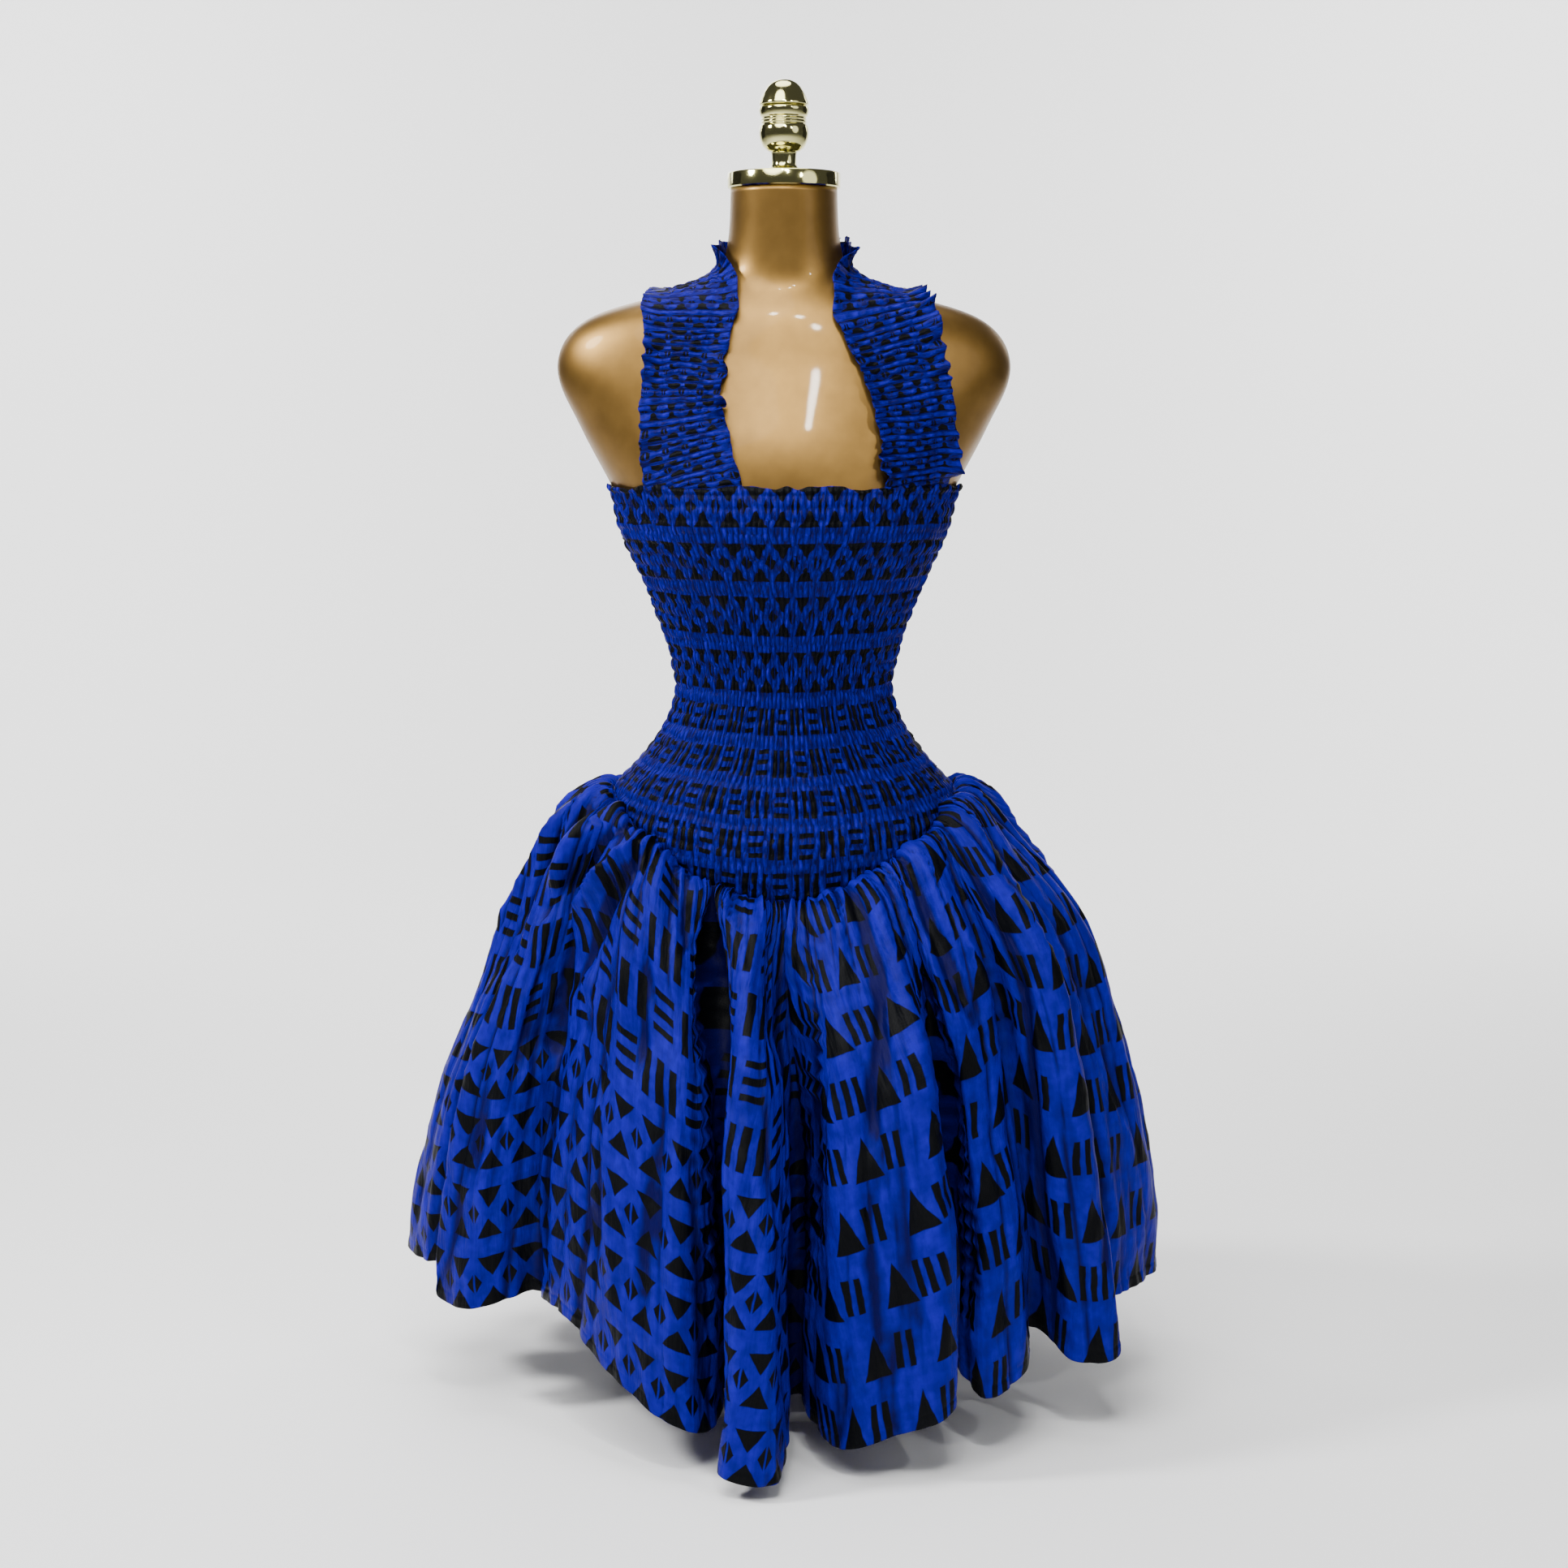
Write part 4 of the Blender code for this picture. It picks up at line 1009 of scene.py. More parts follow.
def form_hardware(brass, steel):
    """The neck cap and its knob, and the stand: socket, pole and round base."""
    neck = FORM[-1]
    cap_foot = neck.height + SEAM_GAP
    cap = (
        Turned(0.0, CAP_HEIGHT + CAP_EDGE * 0.9),
        Turned(CAP_RADIUS * 0.6, CAP_HEIGHT + CAP_EDGE * 0.5),
        Turned(CAP_RADIUS - CAP_EDGE, CAP_HEIGHT - CAP_EDGE * 0.05),
        Turned(CAP_RADIUS - CAP_EDGE * 0.4, CAP_HEIGHT - CAP_EDGE * 0.3),
        Turned(CAP_RADIUS, CAP_HEIGHT - CAP_EDGE),
        Turned(CAP_RADIUS, CAP_EDGE * 0.7),
        Turned(CAP_RADIUS - CAP_EDGE * 0.7, 0.0),
        Turned(0.0, 0.0),
    )
    knob_foot = cap_foot + CAP_HEIGHT + CAP_EDGE + SEAM_GAP
    socket = (
        Turned(0.0, SOCKET_HEIGHT),
        Turned(SOCKET_RADIUS - CAP_EDGE, SOCKET_HEIGHT),
        Turned(SOCKET_RADIUS, SOCKET_HEIGHT - CAP_EDGE),
        Turned(SOCKET_RADIUS, SOCKET_HEIGHT - SOCKET_PLATE),
        Turned(SOCKET_NECK, SOCKET_HEIGHT - SOCKET_PLATE - CAP_EDGE),
        Turned(SOCKET_NECK, 0.0),
        Turned(0.0, 0.0),
    )
    socket_foot = FORM[0].height - SEAM_GAP - SOCKET_HEIGHT
    pole_foot = BASE_HEIGHT + SEAM_GAP
    pole_height = socket_foot - SEAM_GAP - pole_foot
    pole = (
        Turned(0.0, pole_height),
        Turned(POLE_RADIUS, pole_height),
        Turned(POLE_RADIUS, 0.0),
        Turned(0.0, 0.0),
    )
    base = (
        Turned(0.0, BASE_HEIGHT),
        Turned(BASE_RADIUS - BASE_CHAMFER, BASE_HEIGHT),
        Turned(BASE_RADIUS - BASE_CHAMFER * 0.3, BASE_HEIGHT - BASE_CHAMFER * 0.3),
        Turned(BASE_RADIUS, BASE_HEIGHT - BASE_CHAMFER),
        Turned(BASE_RADIUS, 0.0),
        Turned(0.0, 0.0),
    )
    neck_metal = (brass, "neck_metal", NECK_MIDDLE)
    stand_metal = (steel, "stand_metal", 0.0)
    spun("neck_cap_disc", "neck_cap", cap, cap_foot, *neck_metal)
    spun("neck_knob_turned", "neck_knob", rounded(KNOB, KNOB_STEPS), knob_foot, *neck_metal)
    spun("stand_socket_plate", "stand_socket", socket, socket_foot, *stand_metal)
    spun("stand_pole_tube", "stand_pole", pole, pole_foot, *stand_metal)
    spun("stand_base_disc", "stand_base", base, 0.0, *stand_metal)


# Bodice


def even_degrees(start, count):
    """Angles of columns that are evenly spaced round half of the body, side to side."""
    fine = np.linspace(0.0, 180.0, RING_STEPS + 1)
    lengths = running_length(body_points(start + fine, np.full(RING_STEPS + 1, RING_HEIGHT)))
    trim = SEAM_GAP / 2 / WAIST_HALF_WIDTH * lengths[-1] / math.pi
    at = np.linspace(trim, lengths[-1] - trim, count)
    return start + np.interp(at, lengths, fine), lengths[-1]


def bodice_surface(degrees):
    """The bodice's rows as shares of the way down and the share that is loose edge, then the
    height of each point and its length of cloth from the top."""
    side_drop = BODICE_TOP - SEAM_FRONT - SEAM_SIDE_RISE
    frill = FRILL_DEEP / side_drop
    top_rows = np.linspace(0.0, frill, FRILL_ROWS)[:-1]
    down = np.concatenate([top_rows, np.linspace(frill, 1.0, BODICE_ROWS + 1)])[:, None]
    sag = BODICE_TOP - seam_height(degrees)[None, :] - side_drop
    heights = BODICE_TOP - side_drop * down - sag * down**2
    fall = running_length(body_points(degrees[None, :], heights, BODY_CLEARANCE))
    return down, frill, heights, fall


def bodice_points(start, puckers, band_height, height, seed):
    """Rows of points up half of the shirred tube, its flat cut and the shade painted into its
    valleys and thread lines.
    """
    degrees, girth = even_degrees(start, puckers * COLUMNS_A_PUCKER + 1)
    share = np.linspace(0.0, 1.0, len(degrees))[None, :]
    place = share * puckers
    down, frill, heights, fall = bodice_surface(degrees)
    # the elastic threads run level round the body, wandering a little
    wobble = THREAD_WOBBLE * smooth_noise(place / WOBBLE_PUCKERS, fall / WOBBLE_FALL, seed + 1)
    band = np.maximum(0.0, fall + wobble - FRILL_DEEP) / band_height
    level = np.floor(band)
    waves = {
        name: random_wave(wave, place, level if name == "shift" else band, seed)
        for name, wave in BODICE_WAVES.items()
    }
    phase = place + PHASE_DRIFT * waves["drift"] + BAND_SHIFT * waves["shift"]
    # each pucker on each band has its own height, and pairs of them run together here and there
    cell = smooth_noise(np.round(phase) * PUCKER_RATE, level * BAND_RATE, seed + 3)
    swell = PUCKER_LEVEL + PUCKER_UNEVEN * cell
    ridge = np.abs(np.sin(math.pi * phase)) ** PUCKER_ROUND
    puff = np.sin(math.pi * (band - level))
    pinch = PINNED + (1.0 - PINNED) * puff**BAND_ROUND
    # the loose edge leans out and waves
    frill_share = np.clip((frill - down) / frill, 0.0, 1.0)
    shirred = frill_share == 0.0
    arc = np.sin(math.pi * FRILL_ARC * frill_share)
    pinch = np.where(shirred, pinch, PINNED + FRILL_PINCH * arc)
    at_side = np.clip(np.minimum(share, 1.0 - share) * puckers * SIDE_PUCKERS, 0.0, 1.0)
    relief = height * ridge * pinch * swell * at_side + PUFF * puff * shirred
    lean = arc * FRILL_LEAN * (0.5 + 0.4 * waves["loose"])
    wave = FRILL_WAVE * np.sin(math.pi * phase * 0.5 + 2.0 * waves["drift"])
    relief = (relief + lean + frill_share * wave) * (1.0 - FRILL_CALM * frill_share**3)
    # the last rows turn in under the seam
    last = np.clip((down - TUCKED_FROM) / (1.0 - TUCKED_FROM), 0.0, 1.0)
    relief = relief * (1.0 - TUCKED_CALM * last) - TUCKED_IN * last
    edge = EDGE_ROUGH * waves["rough"] + EDGE_ROLL * waves["roll"] - EDGE_DROP
    heights = heights + frill_share * edge * at_side
    out = BODY_CLEARANCE + SHIRRING_OUT + relief
    # behind the loose edge the cloth is turned in
    turned = [
        body_points(degrees, heights[0] - drop, np.maximum(out[0] - step_in, LEAST_OUT))
        for drop, step_in in reversed(TURNED_IN)
    ]
    points = np.concatenate([np.array(turned), body_points(degrees[None, :], heights, out)])
    behind = np.repeat(np.array(TURNED_CUT)[:, None] - FRILL_TURN, len(degrees), axis=1)
    fall = np.concatenate([behind, fall])
    # the flat cloth bunches in the valleys, which breaks the print up there
    bunch = BUNCH / puckers * np.sin(math.tau * phase)
    bunch = np.concatenate([np.repeat(bunch[:1], len(turned), axis=0), bunch])
    u = (share + bunch) * girth * BODICE_GATHERED * PRINT_ACROSS
    v = (PRINT_CHANGE - fall) * PRINT_DOWN
    painted_shades = shirring_shade(BODICE_SHADE, ridge, cell, pinch, shirred, waves["shade"])
    # the cloth turned in behind the loose edge is painted in full shade
    painted_shades = np.concatenate([np.ones((len(turned), len(degrees))), painted_shades])
    return points[::-1], np.stack([u, v], -1)[::-1], painted_shades[::-1]


def shirred_bodice(settings, material):
    """Front and back of the shirred tube."""
    for name, start, seed, node_name in (
        ("shirred_bodice_front", -90.0, 11, "bodice_front"),
        ("shirred_bodice_back", 90.0, 31, "bodice_back"),
    ):
        points, flat, painted_shades = bodice_points(
            start, settings.puckers, settings.band_height, settings.pucker_height, seed
        )
        piece = cloth_piece(name, points, flat, painted_shades, material, 0.0, node_name)


# Skirt


def hem_stations():
    """The hem's stations once round, as angle, reach, height and the columns to the next."""
    rows = []
    for fold in FOLDS:
        sides = (-1.0, 0.0, 1.0) if fold.spread > WIDE_FOLD else (-1.0, 1.0)
        for side in sides:
            degrees = fold.centre + side * fold.spread
            reach = fold.reach + side * fold.skew / 2 + (CREST if side == 0.0 else 0.0)
            rows.append((degrees, reach, hem_height(degrees) - fold.drop, STATION_STEPS))
        for side, steps in ((-1.0, 1), (1.0, STATION_STEPS)):
            degrees = fold.valley + side * VALLEY_SPREAD
            rows.append((degrees, fold.valley_reach, hem_height(degrees) + fold.lift, steps))
    return np.array(rows, float)


def closed_curve(points, steps):
    """Smooth closed curve through the points, with so many steps from each to the next."""
    before, after = np.roll(points, 1, axis=0), np.roll(points, -1, axis=0)
    length = np.linalg.norm(after - points, axis=1)
    slope = after - before
    mouth = np.linalg.norm(slope, axis=1)
    reach = np.minimum(np.minimum(length, np.roll(length, 1)), MOUTH_SHARE * mouth)
    slope = slope * (reach / mouth)[:, None]
    curve = []
    for k, pieces in enumerate(steps.astype(int)):
        n = (k + 1) % len(points)
        for share in np.arange(pieces) / pieces:
            curve.append(cubic(share, points[k], slope[k], points[n], slope[n]))
    return np.array(curve)


class Hem:
    """The hem as a closed line, looked up by the share of the way along it."""

    FINE = 16

    def __init__(self):
        stations = hem_stations()
        turn = np.radians(stations[:, 0])
        plan = stations[:, 1:2] * np.stack([np.sin(turn), -np.cos(turn)], -1)
        steps = stations[:, 3] * self.FINE
        line = closed_curve(np.column_stack([plan, stations[:, 2]]), steps)
        self.line = np.vstack([line, line[:1]])
        lengths = np.linalg.norm(np.diff(self.line, axis=0), axis=1)
        self.length = lengths.sum()
        self.share = np.concatenate([[0.0], np.cumsum(lengths)]) / self.length
        around = np.unwrap(np.arctan2(self.line[:, 0], -self.line[:, 1]))
        self.around = np.degrees(around)
        starts = np.concatenate([[0.0], np.cumsum(steps)]).astype(int)
        self.station_share = self.share[starts]

    def valleys(self):
        """The share of the way along at the valley after each fold."""
        places, station = {}, 0
        for fold in FOLDS:
            station += 5 if fold.spread > WIDE_FOLD else 4
            places[fold.name] = self.station_share[station - 1]
        return places

    def at(self, share):
        """Hem points and waist angles at shares of the way along, which may pass 0 or 1."""
        turns = np.floor(share)
        left = share - turns
        points = np.stack([np.interp(left, self.share, self.line[:, k]) for k in range(3)], -1)
        around = np.interp(left, self.share, self.around) + 360.0 * turns
        even = self.around[0] + 360.0 * share
        return points, (1.0 - HEM_LED) * even + HEM_LED * around


def skirt_base(hem, share, down):
    """The skirt's smooth surface at columns along the hem and rows on the way down to it."""
    foot, waist = hem.at(share)
    top = body_points(waist, seam_height(waist), BODY_CLEARANCE + CLOTH)
    top[:, 2] -= SEAM_GAP + CHORD_GAP
    leftness = (1.0 + np.sin(np.radians(waist))) / 2.0
    table = np.linspace(0.0, 1.0, len(SKIRT_PROFILE) + 1)
    drop, right, left = (
        smooth_lookup(table, np.append(0.0, column(SKIRT_PROFILE, name)), down)
        for name in ("drop", "right", "left")
    )
    reach = right[:, None] * (1.0 - leftness) + left[:, None] * leftness
    flat = top[None, :, :2] + (foot[:, :2] - top[:, :2])[None] * reach[..., None]
    height = top[None, :, 2] + (foot[:, 2] - top[:, 2])[None] * drop[:, None]
    return np.concatenate([flat, height[..., None]], -1), waist


def averaged(values, reach):
    """Mean of each value and so many to both sides of it in its row."""
    return sum(np.roll(values, k, axis=1) for k in range(-reach, reach + 1)) / (2 * reach + 1)


def gathers(share, from_seam, seed):
    """Small gathers under the seam, each with its own height, length and lean."""
    chance = np.random.default_rng(seed)
    relief = np.zeros(from_seam.shape)
    width = GATHER_WIDTH / GATHER_COUNT * (1.0 + from_seam / GATHER_WIDENS)
    for k in range(GATHER_COUNT):
        place = (k + chance.uniform(-GATHER_STRAY, GATHER_STRAY)) / GATHER_COUNT
        length = GATHER_SHORTEST + GATHER_LONGER * chance.random() ** 1.5
        height = GATHER_HEIGHT * chance.uniform(0.55, 1.30)
        lean = chance.uniform(-GATHER_LEAN, GATHER_LEAN)
        away = (share[None, :] - place - lean * from_seam + 0.5) % 1.0 - 0.5
        relief += height * np.exp(-((away / width) ** 2)) * np.exp(-((from_seam / length) ** 2))
    return relief


def flutes(share, from_seam, length, seed):
    """Upright flutes that the gathers let down into the cloth, sharp in their valleys."""
    relief = np.zeros(from_seam.shape)
    for row in FLUTES:
        count = round(length / row.size)
        step = seed + row.seed_step
        lean = FLUTE_LEAN * smooth_noise(share[None, :] * 5, from_seam / 0.2, step, 5)
        place = share[None, :] * count + lean
        wave = smooth_noise(place, from_seam / FLUTE_REACH, step + 5, count)
        crest = np.abs(wave) ** FLUTE_SHARP - 0.5
        relief += row.height * crest * np.clip(from_seam / (row.size * FLUTE_FROM), 0.0, 1.0)
    return relief


def sweeps(points):
    """Relief of the listed creases."""
    radius = np.hypot(points[..., 0], points[..., 1])
    turn = np.arctan2(points[..., 0], -points[..., 1])
    relief = np.zeros(radius.shape)
    along = np.linspace(0.0, 1.0, SWEEP_STEPS)
    weights = np.stack([(1 - along) ** 2, 2 * along * (1 - along), along**2], -1)
    bend = np.array([0.0, 1.0, 0.0])
    for row in SWEEPS:
        angles = np.radians([row.angle_1, row.angle_2, row.angle_3])
        heights = np.array([row.z_1, row.z_2, row.z_3])
        # the curve goes through its middle place, not only towards it
        angles = angles + bend * (angles[1] - (angles[0] + angles[2]) / 2)
        heights = heights + bend * (heights[1] - (heights[0] + heights[2]) / 2)
        nearest = np.full(radius.shape, np.inf)
        strength = np.zeros(radius.shape)
        for share, angle, height in zip(along, weights @ angles, weights @ heights):
            across = (turn - angle + math.pi) % math.tau - math.pi
            away = np.hypot(across * radius, points[..., 2] - height)
            closer = away < nearest
            nearest = np.where(closer, away, nearest)
            # a crease fades in over its first part and out over its last
            fade = min(1.0, 4.0 * (1.0 - share), 0.35 + 3.0 * share)
            strength = np.where(closer, fade, strength)
        flank = (nearest / (row.width * SWEEP_WIDER)) ** SWEEP_ROUND
        relief += SWEEP_DEEPER * row.depth * strength * np.exp(-flank)
    return relief


def fold_depth(values, depth):
    """How far each value in a row lies behind those beside it, against a fold's depth."""
    return (averaged(values, depth.columns) - values) / depth.behind


def fold_shade(points, relief, from_seam):
    """How much shade is painted on each point, from how deep in a fold it lies, of the fine, the
    middle and the large folds.
    """
    fine = FINE_LEAST + (1.0 - FINE_LEAST) * np.exp(-from_seam / FINE_FADES)
    fine = fold_depth(relief, FINE_FOLDS) * fine
    radius = np.hypot(points[..., 0], points[..., 1]) + relief
    large = np.clip(fold_depth(radius, LARGE_FOLDS), 0.0, LARGE_DARKEST)
    return np.maximum(np.maximum(fine, fold_depth(relief, MIDDLE_FOLDS)), 0.0) + large


def skirt_panel(hem, first, last, column_size, seed):
    """Rows of points up one panel of the skirt, its flat cut and the shade painted into its folds.
    """
    count = round((last - first) * hem.length / column_size)
    step = (last - first) / count
    share = first + step * np.arange(-SIDE_COLUMNS, count + SIDE_COLUMNS + 1)
    even = np.linspace(0.0, 1.0, SKIRT_ROWS + 1)
    even = (even - ROWS_CLOSER * np.sin(math.tau * even) / math.tau) * HEM_ZONE
    down = np.concatenate([even[:-1], np.linspace(HEM_ZONE, 1.0, HEM_ROWS + 1)])
    points, waist = skirt_base(hem, share, down)
    from_seam = running_length(points)
    from_hem = from_seam[-1] - from_seam
    flare = TOP_CUT + (1.0 - TOP_CUT) * from_seam / from_seam[-1]
    flat_u = (share - (first + last) / 2) * hem.length * flare

    def noise(size, seed_step, down_cloth=from_seam):
        """Smooth noise in cells of one size that close round the hem."""
        cells = max(4, round(hem.length / size))
        return smooth_noise(share[None, :] * cells, down_cloth / size, seed + seed_step, cells)

    def swell(row):
        return noise(row.size, row.seed_step)

    ease = np.clip(from_seam / SWELLS_FROM, 0.0, 1.0)
    relief = gathers(share, from_seam, seed) + sweeps(points)
    relief = relief + flutes(share, from_seam, hem.length, seed)
    relief = relief + BROAD_SWELL.height * ease * swell(BROAD_SWELL)
    relief = relief + SMALL_SWELL.height * np.sqrt(ease) * swell(SMALL_SWELL)
    crease = CREASE_LEVEL - np.abs(swell(CREASES))
    relief = relief + CREASES.height * crease * (0.4 + 0.6 * ease)
    crease = CREASE_LEVEL - np.abs(swell(FINE_CREASES))
    relief = relief + FINE_CREASES.height * crease
    painted_shades = fold_shade(points, relief, from_seam)
    # the turned-up hem, its row of stitches and the slight pull beside them
    in_hem = np.clip((HEM_DEEP - from_hem) / HEM_EDGE, 0.0, 1.0)
    stitches = np.exp(-(((from_hem - HEM_DEEP) / STITCH_HALF_WIDTH) ** 2))
    pull = noise(PULL_SIZE, 5, 0.0) * np.exp(-((from_hem / PULL_REACH) ** 2))
    relief = relief + HEM_RAISE * in_hem - STITCH_DEEP * stitches + PULL_HEIGHT * pull
    relief = relief * np.clip(from_seam / 0.006, 0.25, 1.0)
    normal = np.cross(np.gradient(points, axis=0), np.gradient(points, axis=1))
    normal /= np.linalg.norm(normal, axis=-1, keepdims=True)
    points = points + normal * relief[..., None]
    tuck = body_points(waist, seam_height(waist) + TUCK_UP, TUCK_CLEARANCE)
    own = slice(SIDE_COLUMNS, -SIDE_COLUMNS)
    points = np.concatenate([tuck[None], points])[:, own]
    # the tucked edge under the bodice is painted in full shade
    painted_shades = np.concatenate([np.ones((1, len(share))), painted_shades])[:, own]
    above = np.full((1, len(share)), from_seam[-1, own].max() + TUCK_UP)
    flat_v = np.concatenate([above, from_hem])
    flat_u = np.concatenate([flat_u[:1], flat_u])
    flat = np.stack([flat_u, flat_v], -1)[:, own]
    return points[::-1], flat[::-1], painted_shades[::-1]


def gathered_skirt(settings, materials):
    """The three panels of the skirt, cut from one gathered surface at its seams."""
    hem = Hem()
    valleys = hem.valleys()
    last_valley = valleys[FOLDS[-1].name]
    seams = (last_valley - 1.0, valleys[CENTRE_SEAM_FOLD], valleys[SIDE_SEAM_FOLD], last_valley)
    titles = ("skirt_front_right", "skirt_front_left", "skirt_back")
    sizes = (SKIRT_COLUMN, SKIRT_COLUMN, BACK_COLUMN)
    for title, first, last, size, material in zip(titles, seams, seams[1:], sizes, materials):
        points, flat, painted_shades = skirt_panel(hem, first, last, size, 51)
        name = "gathered_" + title
        piece = cloth_piece(name, points, flat, painted_shades, material, settings.thickness, title)


# Straps


def strap_line(table, rows):
    """Middle points and half widths along a strap, evenly spaced by length."""
    points = np.array([(s.x, s.y, s.z) for s in table])
    places = running_length(points)
    at = np.linspace(0.0, places[-1], rows + 1)
    line = np.stack([smooth_lookup(places, points[:, k], at) for k in range(3)], -1)
    return line, smooth_lookup(places, column(table, "half_width"), at), places[-1]


def strap_tips(tips, at, shares):
    """How far each point of a strap juts out and stands up at its tips."""
    jut = np.zeros((len(at), len(shares)))
    stand = np.zeros_like(jut)
    for tip in tips:
        near = np.exp(-(((at[:, None] - tip.place) / tip.spread) ** 2))
        near = near * np.clip(tip.side * shares[None, :], 0.0, 1.0) ** 3
        jut += near * tip.out
        stand += near * tip.lift
    return jut, stand


def strap_walk(line, half_widths, edges, jut, side, tree):
    """Points and normals on the form, walked from a strap's middle out to both of its edges."""
    half = STRAP_HALF_COLUMNS
    spots = np.zeros((*jut.shape, 3))
    normals = np.zeros_like(spots)
    for k, (middle, half_width) in enumerate(zip(line, half_widths)):
        start = tree.find_nearest(Vector(middle))[:2]
        ahead = Vector(line[min(k + 1, STRAP_ROWS)] - line[k - 1]) if k else Vector((0, 0, 1))
        across = start[1].cross(ahead.normalized()).normalized() * side
        for way in (-1, 1):
            spot, normal = start
            heading = across * way
            spots[k, half], normals[k, half] = spot, normal
            for n in range(1, half + 1):
                c = half + way * n
                size = half_width * (1.0 + (edges[k, c] - 1.0) * (n / half) ** 3) + jut[k, c]
                heading = (heading - normal * heading.dot(normal)).normalized()
                spot, normal = tree.find_nearest(spot + heading * (size / half))[:2]
                spots[k, c], normals[k, c] = spot, normal
    return spots, normals


def strap_points(table, tips, tree, seed):
    """Rows of points along a shirred strap with a frill along both edges, its flat cut and the
    shade painted into its valleys and thread lines."""
    line, half_widths, length = strap_line(table, STRAP_ROWS)
    side = 1.0 if table[0].x > 0.0 else -1.0
    shares = np.linspace(-1.0, 1.0, 2 * STRAP_HALF_COLUMNS + 1)
    at = np.linspace(0.0, 1.0, STRAP_ROWS + 1)
    place = at[:, None] * length
    each_side = np.sign(shares)
    waves = {
        name: random_wave(
            wave, place, (each_side if name in ("stray", "size") else shares)[None, :], seed
        )
        for name, wave in STRAP_WAVES.items()
    }
    ragged = np.where(shares > 0.0, INNER_RAGGED, OUTER_RAGGED)[None, :]
    jut, stand = strap_tips(tips, at, shares)
    edges = 1.0 + ragged * waves["edge"]
    spots, normals = strap_walk(line, half_widths, edges, jut, side, tree)
    loose = (np.maximum(0.0, np.abs(shares) - FRILL_FROM) / (1.0 - FRILL_FROM))[None, :]
    phase = place / STRAP_PITCH + STRAP_DRIFT * waves["drift"]
    bands = np.round(shares / STRAP_BAND)[None, :]
    cell = smooth_noise(np.round(phase) * STRAP_RATE, bands, seed + 2)
    ridge = np.abs(np.sin(math.pi * phase)) ** PUCKER_ROUND
    pinch = np.abs(np.sin(math.pi * (shares + 0.5) / STRAP_BAND))[None, :] ** BAND_ROUND
    pinch = np.where(loose > 0.0, LOOSE_PINCH, PINNED + (1.0 - PINNED) * pinch)
    turn = place / EDGE_WAVE * math.tau + RIPPLE_STRAY * waves["stray"]
    ripple = (RIPPLE_LEVEL + RIPPLE_UNEVEN * waves["size"]) * np.sin(turn)
    ripple = ripple + RIPPLE_SMALL * waves["ripple"]
    ends = np.clip(np.minimum(at, 1.0 - at)[:, None] * END_STEEP, END_LIFT, 1.0)
    swell = STRAP_LEVEL + STRAP_UNEVEN * cell
    lift = STRAP_OUT + STRAP_PUCKER * ridge * pinch * swell * (1.0 - LOOSE_LOWER * loose)
    lift = lift + loose * ends * (EDGE_LIFT + EDGE_RIPPLE * ripple) + stand * ends
    lift = STRAP_CLEARANCE + np.maximum(lift, 0.0)
    points = spots + normals * lift[..., None]
    # the ripples swing the loose edge along the strap as well as up
    ahead = np.gradient(points, axis=0)
    ahead /= np.linalg.norm(ahead, axis=-1, keepdims=True)
    swing = EDGE_SWING * loose * ends * np.cos(turn + SWING_BEHIND)
    points = points + ahead * swing[..., None]
    points[..., 0] = side * np.maximum(side * points[..., 0], SEAM_GAP / 2)
    u = shares[None, :] * float(np.mean(half_widths)) * STRAP_PRINT_ACROSS
    v = place * STRAP_GATHERED * STRAP_PRINT_ALONG + STRAP_BUNCH * np.sin(math.tau * phase)
    flat = np.stack(np.broadcast_arrays(u, v), -1)
    painted_shades = shirring_shade(STRAP_SHADE, ridge, cell, pinch, loose == 0.0, waves["shade"])
    if side > 0.0:
        points, flat, painted_shades = points[:, ::-1], flat[:, ::-1], painted_shades[:, ::-1]
    return points, flat, painted_shades


def shirred_straps(settings, material):
    """Both halter straps, walked over the smooth form."""
    shell = bpy.data.objects["form_shell"]
    tree = BVHTree.FromObject(shell, bpy.context.evaluated_depsgraph_get())
    for side, table, seed in (("right", STRAP_RIGHT, 71), ("left", STRAP_LEFT, 91)):
        points, flat, painted_shades = strap_points(table, STRAP_TIPS[side], tree, seed)
        name, cad_node = "shirred_strap_" + side, "strap_" + side
        piece = cloth_piece(name, points, flat, painted_shades, material, settings.thickness, cad_node)


# Stage


def matte(name, colour):
    """Matte studio paper: no gloss, so it only carries the soft shadow."""
    material, _, _ = new_material(name, Base_Color=(*colour, 1.0), Roughness=0.95)
    return material


def paper_sweep(settings):
    """A floor that curves up into a backdrop."""
    work = bmesh.new()
    bmesh.ops.create_grid(work, x_segments=1, y_segments=PAPER_STEPS, size=PAPER_HALF)
    for vertex in work.verts:
        along = vertex.co.y
        past = max(0.0, along - PAPER_FLAT)
        turn = min(past / PAPER_BEND, math.pi / 2)
        rise = max(0.0, past - PAPER_BEND * math.pi / 2)
        vertex.co.y = min(along, PAPER_FLAT) + PAPER_BEND * math.sin(turn)
        vertex.co.z = PAPER_BEND * (1.0 - math.cos(turn)) + rise
    sweep = mesh_object("paper_sweep", work, matte("studio_paper", settings.paper))
    sweep.data.shade_smooth()


def dark_flags(settings):
    """Two dark cards out of the picture, whose reflections draw the polished brass's outline."""
    material = matte("dark_card", settings.card)
    for side in (-1.0, 1.0):
        work = bmesh.new()
        bmesh.ops.create_grid(work, x_segments=1, y_segments=1, size=CARD_HALF)
        flag = mesh_object("dark_flag", work, material)
        flag.location = (side * CARD_PLACE[0], *CARD_PLACE[1:])
        flag.rotation_euler = (math.radians(90.0), 0.0, math.radians(-side * CARD_TURN))


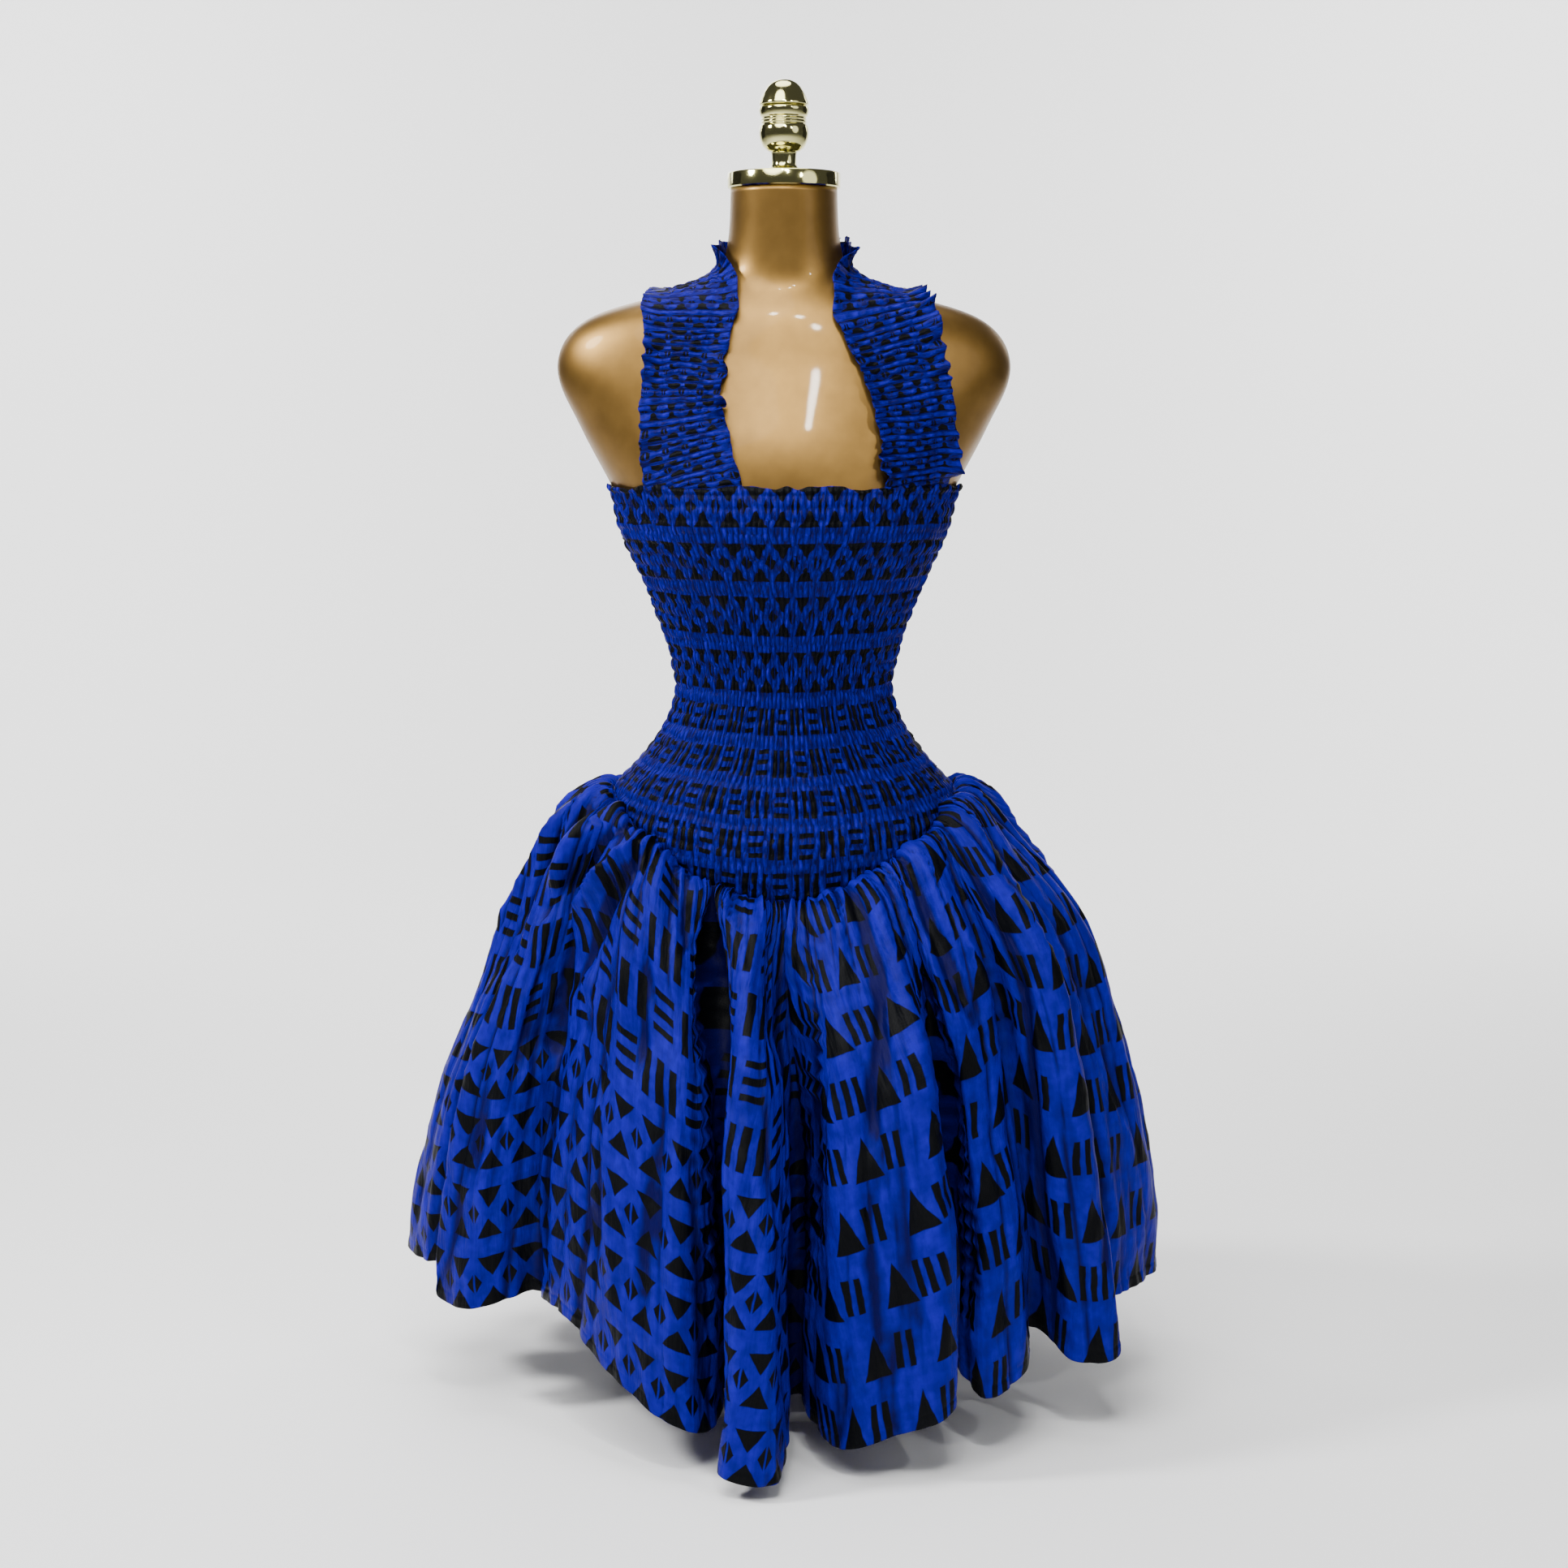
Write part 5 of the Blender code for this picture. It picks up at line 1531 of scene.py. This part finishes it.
Lamp = namedtuple("Lamp", "name x y z size share aim_y")
LAMPS = rows_of(
    Lamp,
    ("soft_key", -0.9, -2.0, 3.2, 2.2, 1.35, 0.0),
    ("soft_fill", 2.5, -1.8, 1.9, 1.8, 0.20, 0.0),
    ("soft_top", -0.1, 0.4, 3.4, 2.0, 0.90, 0.0),
    ("soft_back", -0.6, 2.4, 2.2, 1.5, 0.25, 0.0),
    ("wash_right", -2.6, 2.7, 2.3, 1.4, 1.90, 5.4),
    ("wash_left", 2.6, 2.7, 2.3, 1.4, 1.90, 5.4),
    ("spot_left", -0.10, -1.9, 2.6, 0.08, 0.130, 0.0),
    ("spot_middle", 0.15, -1.9, 2.5, 0.08, 0.130, 0.0),
    ("spot_low", 0.28, -1.9, 2.3, 0.08, 0.130, 0.0),
    ("spot_right", 1.23, -1.69, 1.99, 0.12, 0.110, 0.0),
    ("spot_far", -1.95, -0.57, 2.21, 0.50, 0.95, 0.0),
)


def studio_lamps(settings):
    """Large soft lamps all round and a few small ones that the glossy form mirrors."""
    for row in LAMPS:
        light = bpy.data.lights.new(row.name, "AREA")
        light.shape = "DISK"
        light.size = row.size
        light.energy = settings.lamp_power * row.share
        lamp = placed(row.name, light)
        lamp.location = (row.x, row.y, row.z)
        aim = Vector((0.0, row.aim_y, AIM_HEIGHT)) - lamp.location
        lamp.rotation_euler = aim.to_track_quat("-Z", "Y").to_euler()
    world = bpy.data.worlds.new("studio_air")
    world.use_nodes = True
    sky = world.node_tree.nodes["Background"]
    sky.inputs["Color"].default_value = (1.0, 1.0, 1.0, 1.0)
    sky.inputs["Strength"].default_value = settings.air
    bpy.context.scene.world = world


def photo_camera():
    """The camera at the photograph's angle."""
    lens = bpy.data.cameras.new("photo_camera")
    lens.lens = FOCAL
    lens.sensor_width = SENSOR
    camera = placed("photo_camera", lens)
    camera.location = (0.0, -CAMERA_DISTANCE, CAMERA_HEIGHT)
    camera.rotation_euler = (math.radians(90.0 - CAMERA_DOWN), 0.0, 0.0)
    bpy.context.scene.camera = camera


# Add-on


def colour_property(name, description, hex_color):
    """A colour that the user may change."""
    return bpy.props.FloatVectorProperty(
        name=name,
        description=description,
        subtype="COLOR",
        size=3,
        min=0.0,
        max=1.0,
        default=linear(hex_color),
    )


class ClothSettings(bpy.types.PropertyGroup):
    """Sizes and colours of the dress."""

    blue: colour_property("Blue", "Ground colour of the cotton", "#170890")
    deep_blue: colour_property("Deep blue", "Ground colour where the dye is thick", "#12067A")
    ink: colour_property("Ink", "Colour of the printed marks", "#06070A")
    # painted shade: the dark blue that the cloth is painted towards in folds, valleys and thread
    # lines
    painted_shade_colour: colour_property("Hollow", "Cloth at the bottom of a narrow fold", "#06032C")
    thickness: bpy.props.FloatProperty(
        name="Thickness", description="Thickness of the cotton", default=0.0006, unit="LENGTH"
    )
    puckers: bpy.props.IntProperty(
        name="Puckers", description="Puckers across half of the bodice", default=76
    )
    band_height: bpy.props.FloatProperty(
        name="Band height",
        description="Distance between the bodice's elastic threads",
        default=0.0122,
        unit="LENGTH",
    )
    pucker_height: bpy.props.FloatProperty(
        name="Pucker height",
        description="How far a pucker stands out",
        default=0.0034,
        unit="LENGTH",
    )


class FormSettings(bpy.types.PropertyGroup):
    """Colours of the form and its stand."""

    paint: colour_property("Paint", "Gold of the form", "#8A6A36")
    paint_shade: colour_property("Paint shade", "Gold where the spray is thin", "#72562A")
    brass: colour_property("Brass", "Neck cap and knob", "#D2CC8C")
    coat: colour_property("Coat", "Powder coat of the stand", "#DEDEDA")


class StageSettings(bpy.types.PropertyGroup):
    """Paper and light round the dress."""

    paper: colour_property("Paper", "Floor and backdrop", "#F6F6F6")
    card: colour_property("Card", "Dark cards beside the form", "#1C1C1E")
    lamp_power: bpy.props.FloatProperty(
        name="Lamp power", description="Power of the main soft lamp", default=75.0, unit="POWER"
    )
    air: bpy.props.FloatProperty(
        name="Air", description="Strength of the light from all round", default=0.09
    )


class DRESS_OT_form(bpy.types.Operator):
    """Adds the gold form with its neck cap, knob and stand"""

    bl_idname = "dress.form"
    bl_label = "Form and Stand"

    def execute(self, context):
        settings = context.scene.dress_form
        form_shell(gold_paint(settings))
        form_hardware(polished_brass(settings), powder_coat(settings))
        return {"FINISHED"}


class DRESS_OT_cloth(bpy.types.Operator):
    """Adds the shirred bodice, the gathered skirt and the halter straps"""

    bl_idname = "dress.cloth"
    bl_label = "Dress"

    def execute(self, context):
        settings = context.scene.dress_cloth
        prints = PrintGroups()
        bands, bars, tall = (
            Zone(group, 1.0, 1.0) for group in (prints.bands, prints.bars, prints.tall)
        )
        pressed = Zone(prints.bars, *BODICE_BARS)
        blots = Zone(prints.bands, *STRAP_BANDS)
        bodice, right, left, strap = (
            printed_cotton("wax_printed_cotton_" + name, settings, low, high, split, crumple)
            for name, low, high, split, crumple in (
                ("shirred", pressed, bands, 0.0, BODICE_CRUMPLE),
                ("bands", bands, bars, BARS_OVER, SKIRT_CRUMPLE),
                ("tall", tall, tall, TALL_FROM, SKIRT_CRUMPLE),
                ("straps", blots, blots, 0.0, STRAP_CRUMPLE),
            )
        )
        shirred_bodice(settings, bodice)
        gathered_skirt(settings, (right, left, left))
        shirred_straps(settings, strap)
        return {"FINISHED"}


class DRESS_OT_stage(bpy.types.Operator):
    """Adds the floor, the lamps and the camera"""

    bl_idname = "dress.stage"
    bl_label = "Stage"

    def execute(self, context):
        settings = context.scene.dress_stage
        paper_sweep(settings)
        dark_flags(settings)
        studio_lamps(settings)
        photo_camera()
        return {"FINISHED"}


class DRESS_PT_panel(bpy.types.Panel):
    """Shows the dress's settings and the buttons that add its pieces in the sidebar"""

    bl_idname = "DRESS_PT_panel"
    bl_label = "Shirred Halter Dress"
    bl_space_type = "VIEW_3D"
    bl_region_type = "UI"
    bl_category = "Dress"

    def draw(self, context):
        for group, operator in (
            ("dress_form", "dress.form"),
            ("dress_cloth", "dress.cloth"),
            ("dress_stage", "dress.stage"),
        ):
            box = self.layout.box()
            settings = getattr(context.scene, group)
            for name in settings.__annotations__:
                box.prop(settings, name)
            box.operator(operator)


SETTINGS = (
    ("dress_form", FormSettings),
    ("dress_cloth", ClothSettings),
    ("dress_stage", StageSettings),
)
CLASSES = (DRESS_OT_form, DRESS_OT_cloth, DRESS_OT_stage, DRESS_PT_panel)


def register():
    """Registers the settings, the operators and the panel."""
    for name, group in SETTINGS:
        bpy.utils.register_class(group)
        setattr(bpy.types.Scene, name, bpy.props.PointerProperty(type=group))
    for kind in CLASSES:
        bpy.utils.register_class(kind)


def unregister():
    """Takes away what register added."""
    for kind in reversed(CLASSES):
        bpy.utils.unregister_class(kind)
    for name, group in reversed(SETTINGS):
        delattr(bpy.types.Scene, name)
        bpy.utils.unregister_class(group)


def main():
    """Registers the add-on, then adds every piece and the stage."""
    register()
    bpy.ops.dress.form()
    bpy.ops.dress.cloth()
    bpy.ops.dress.stage()


if __name__ == "__main__":
    main()
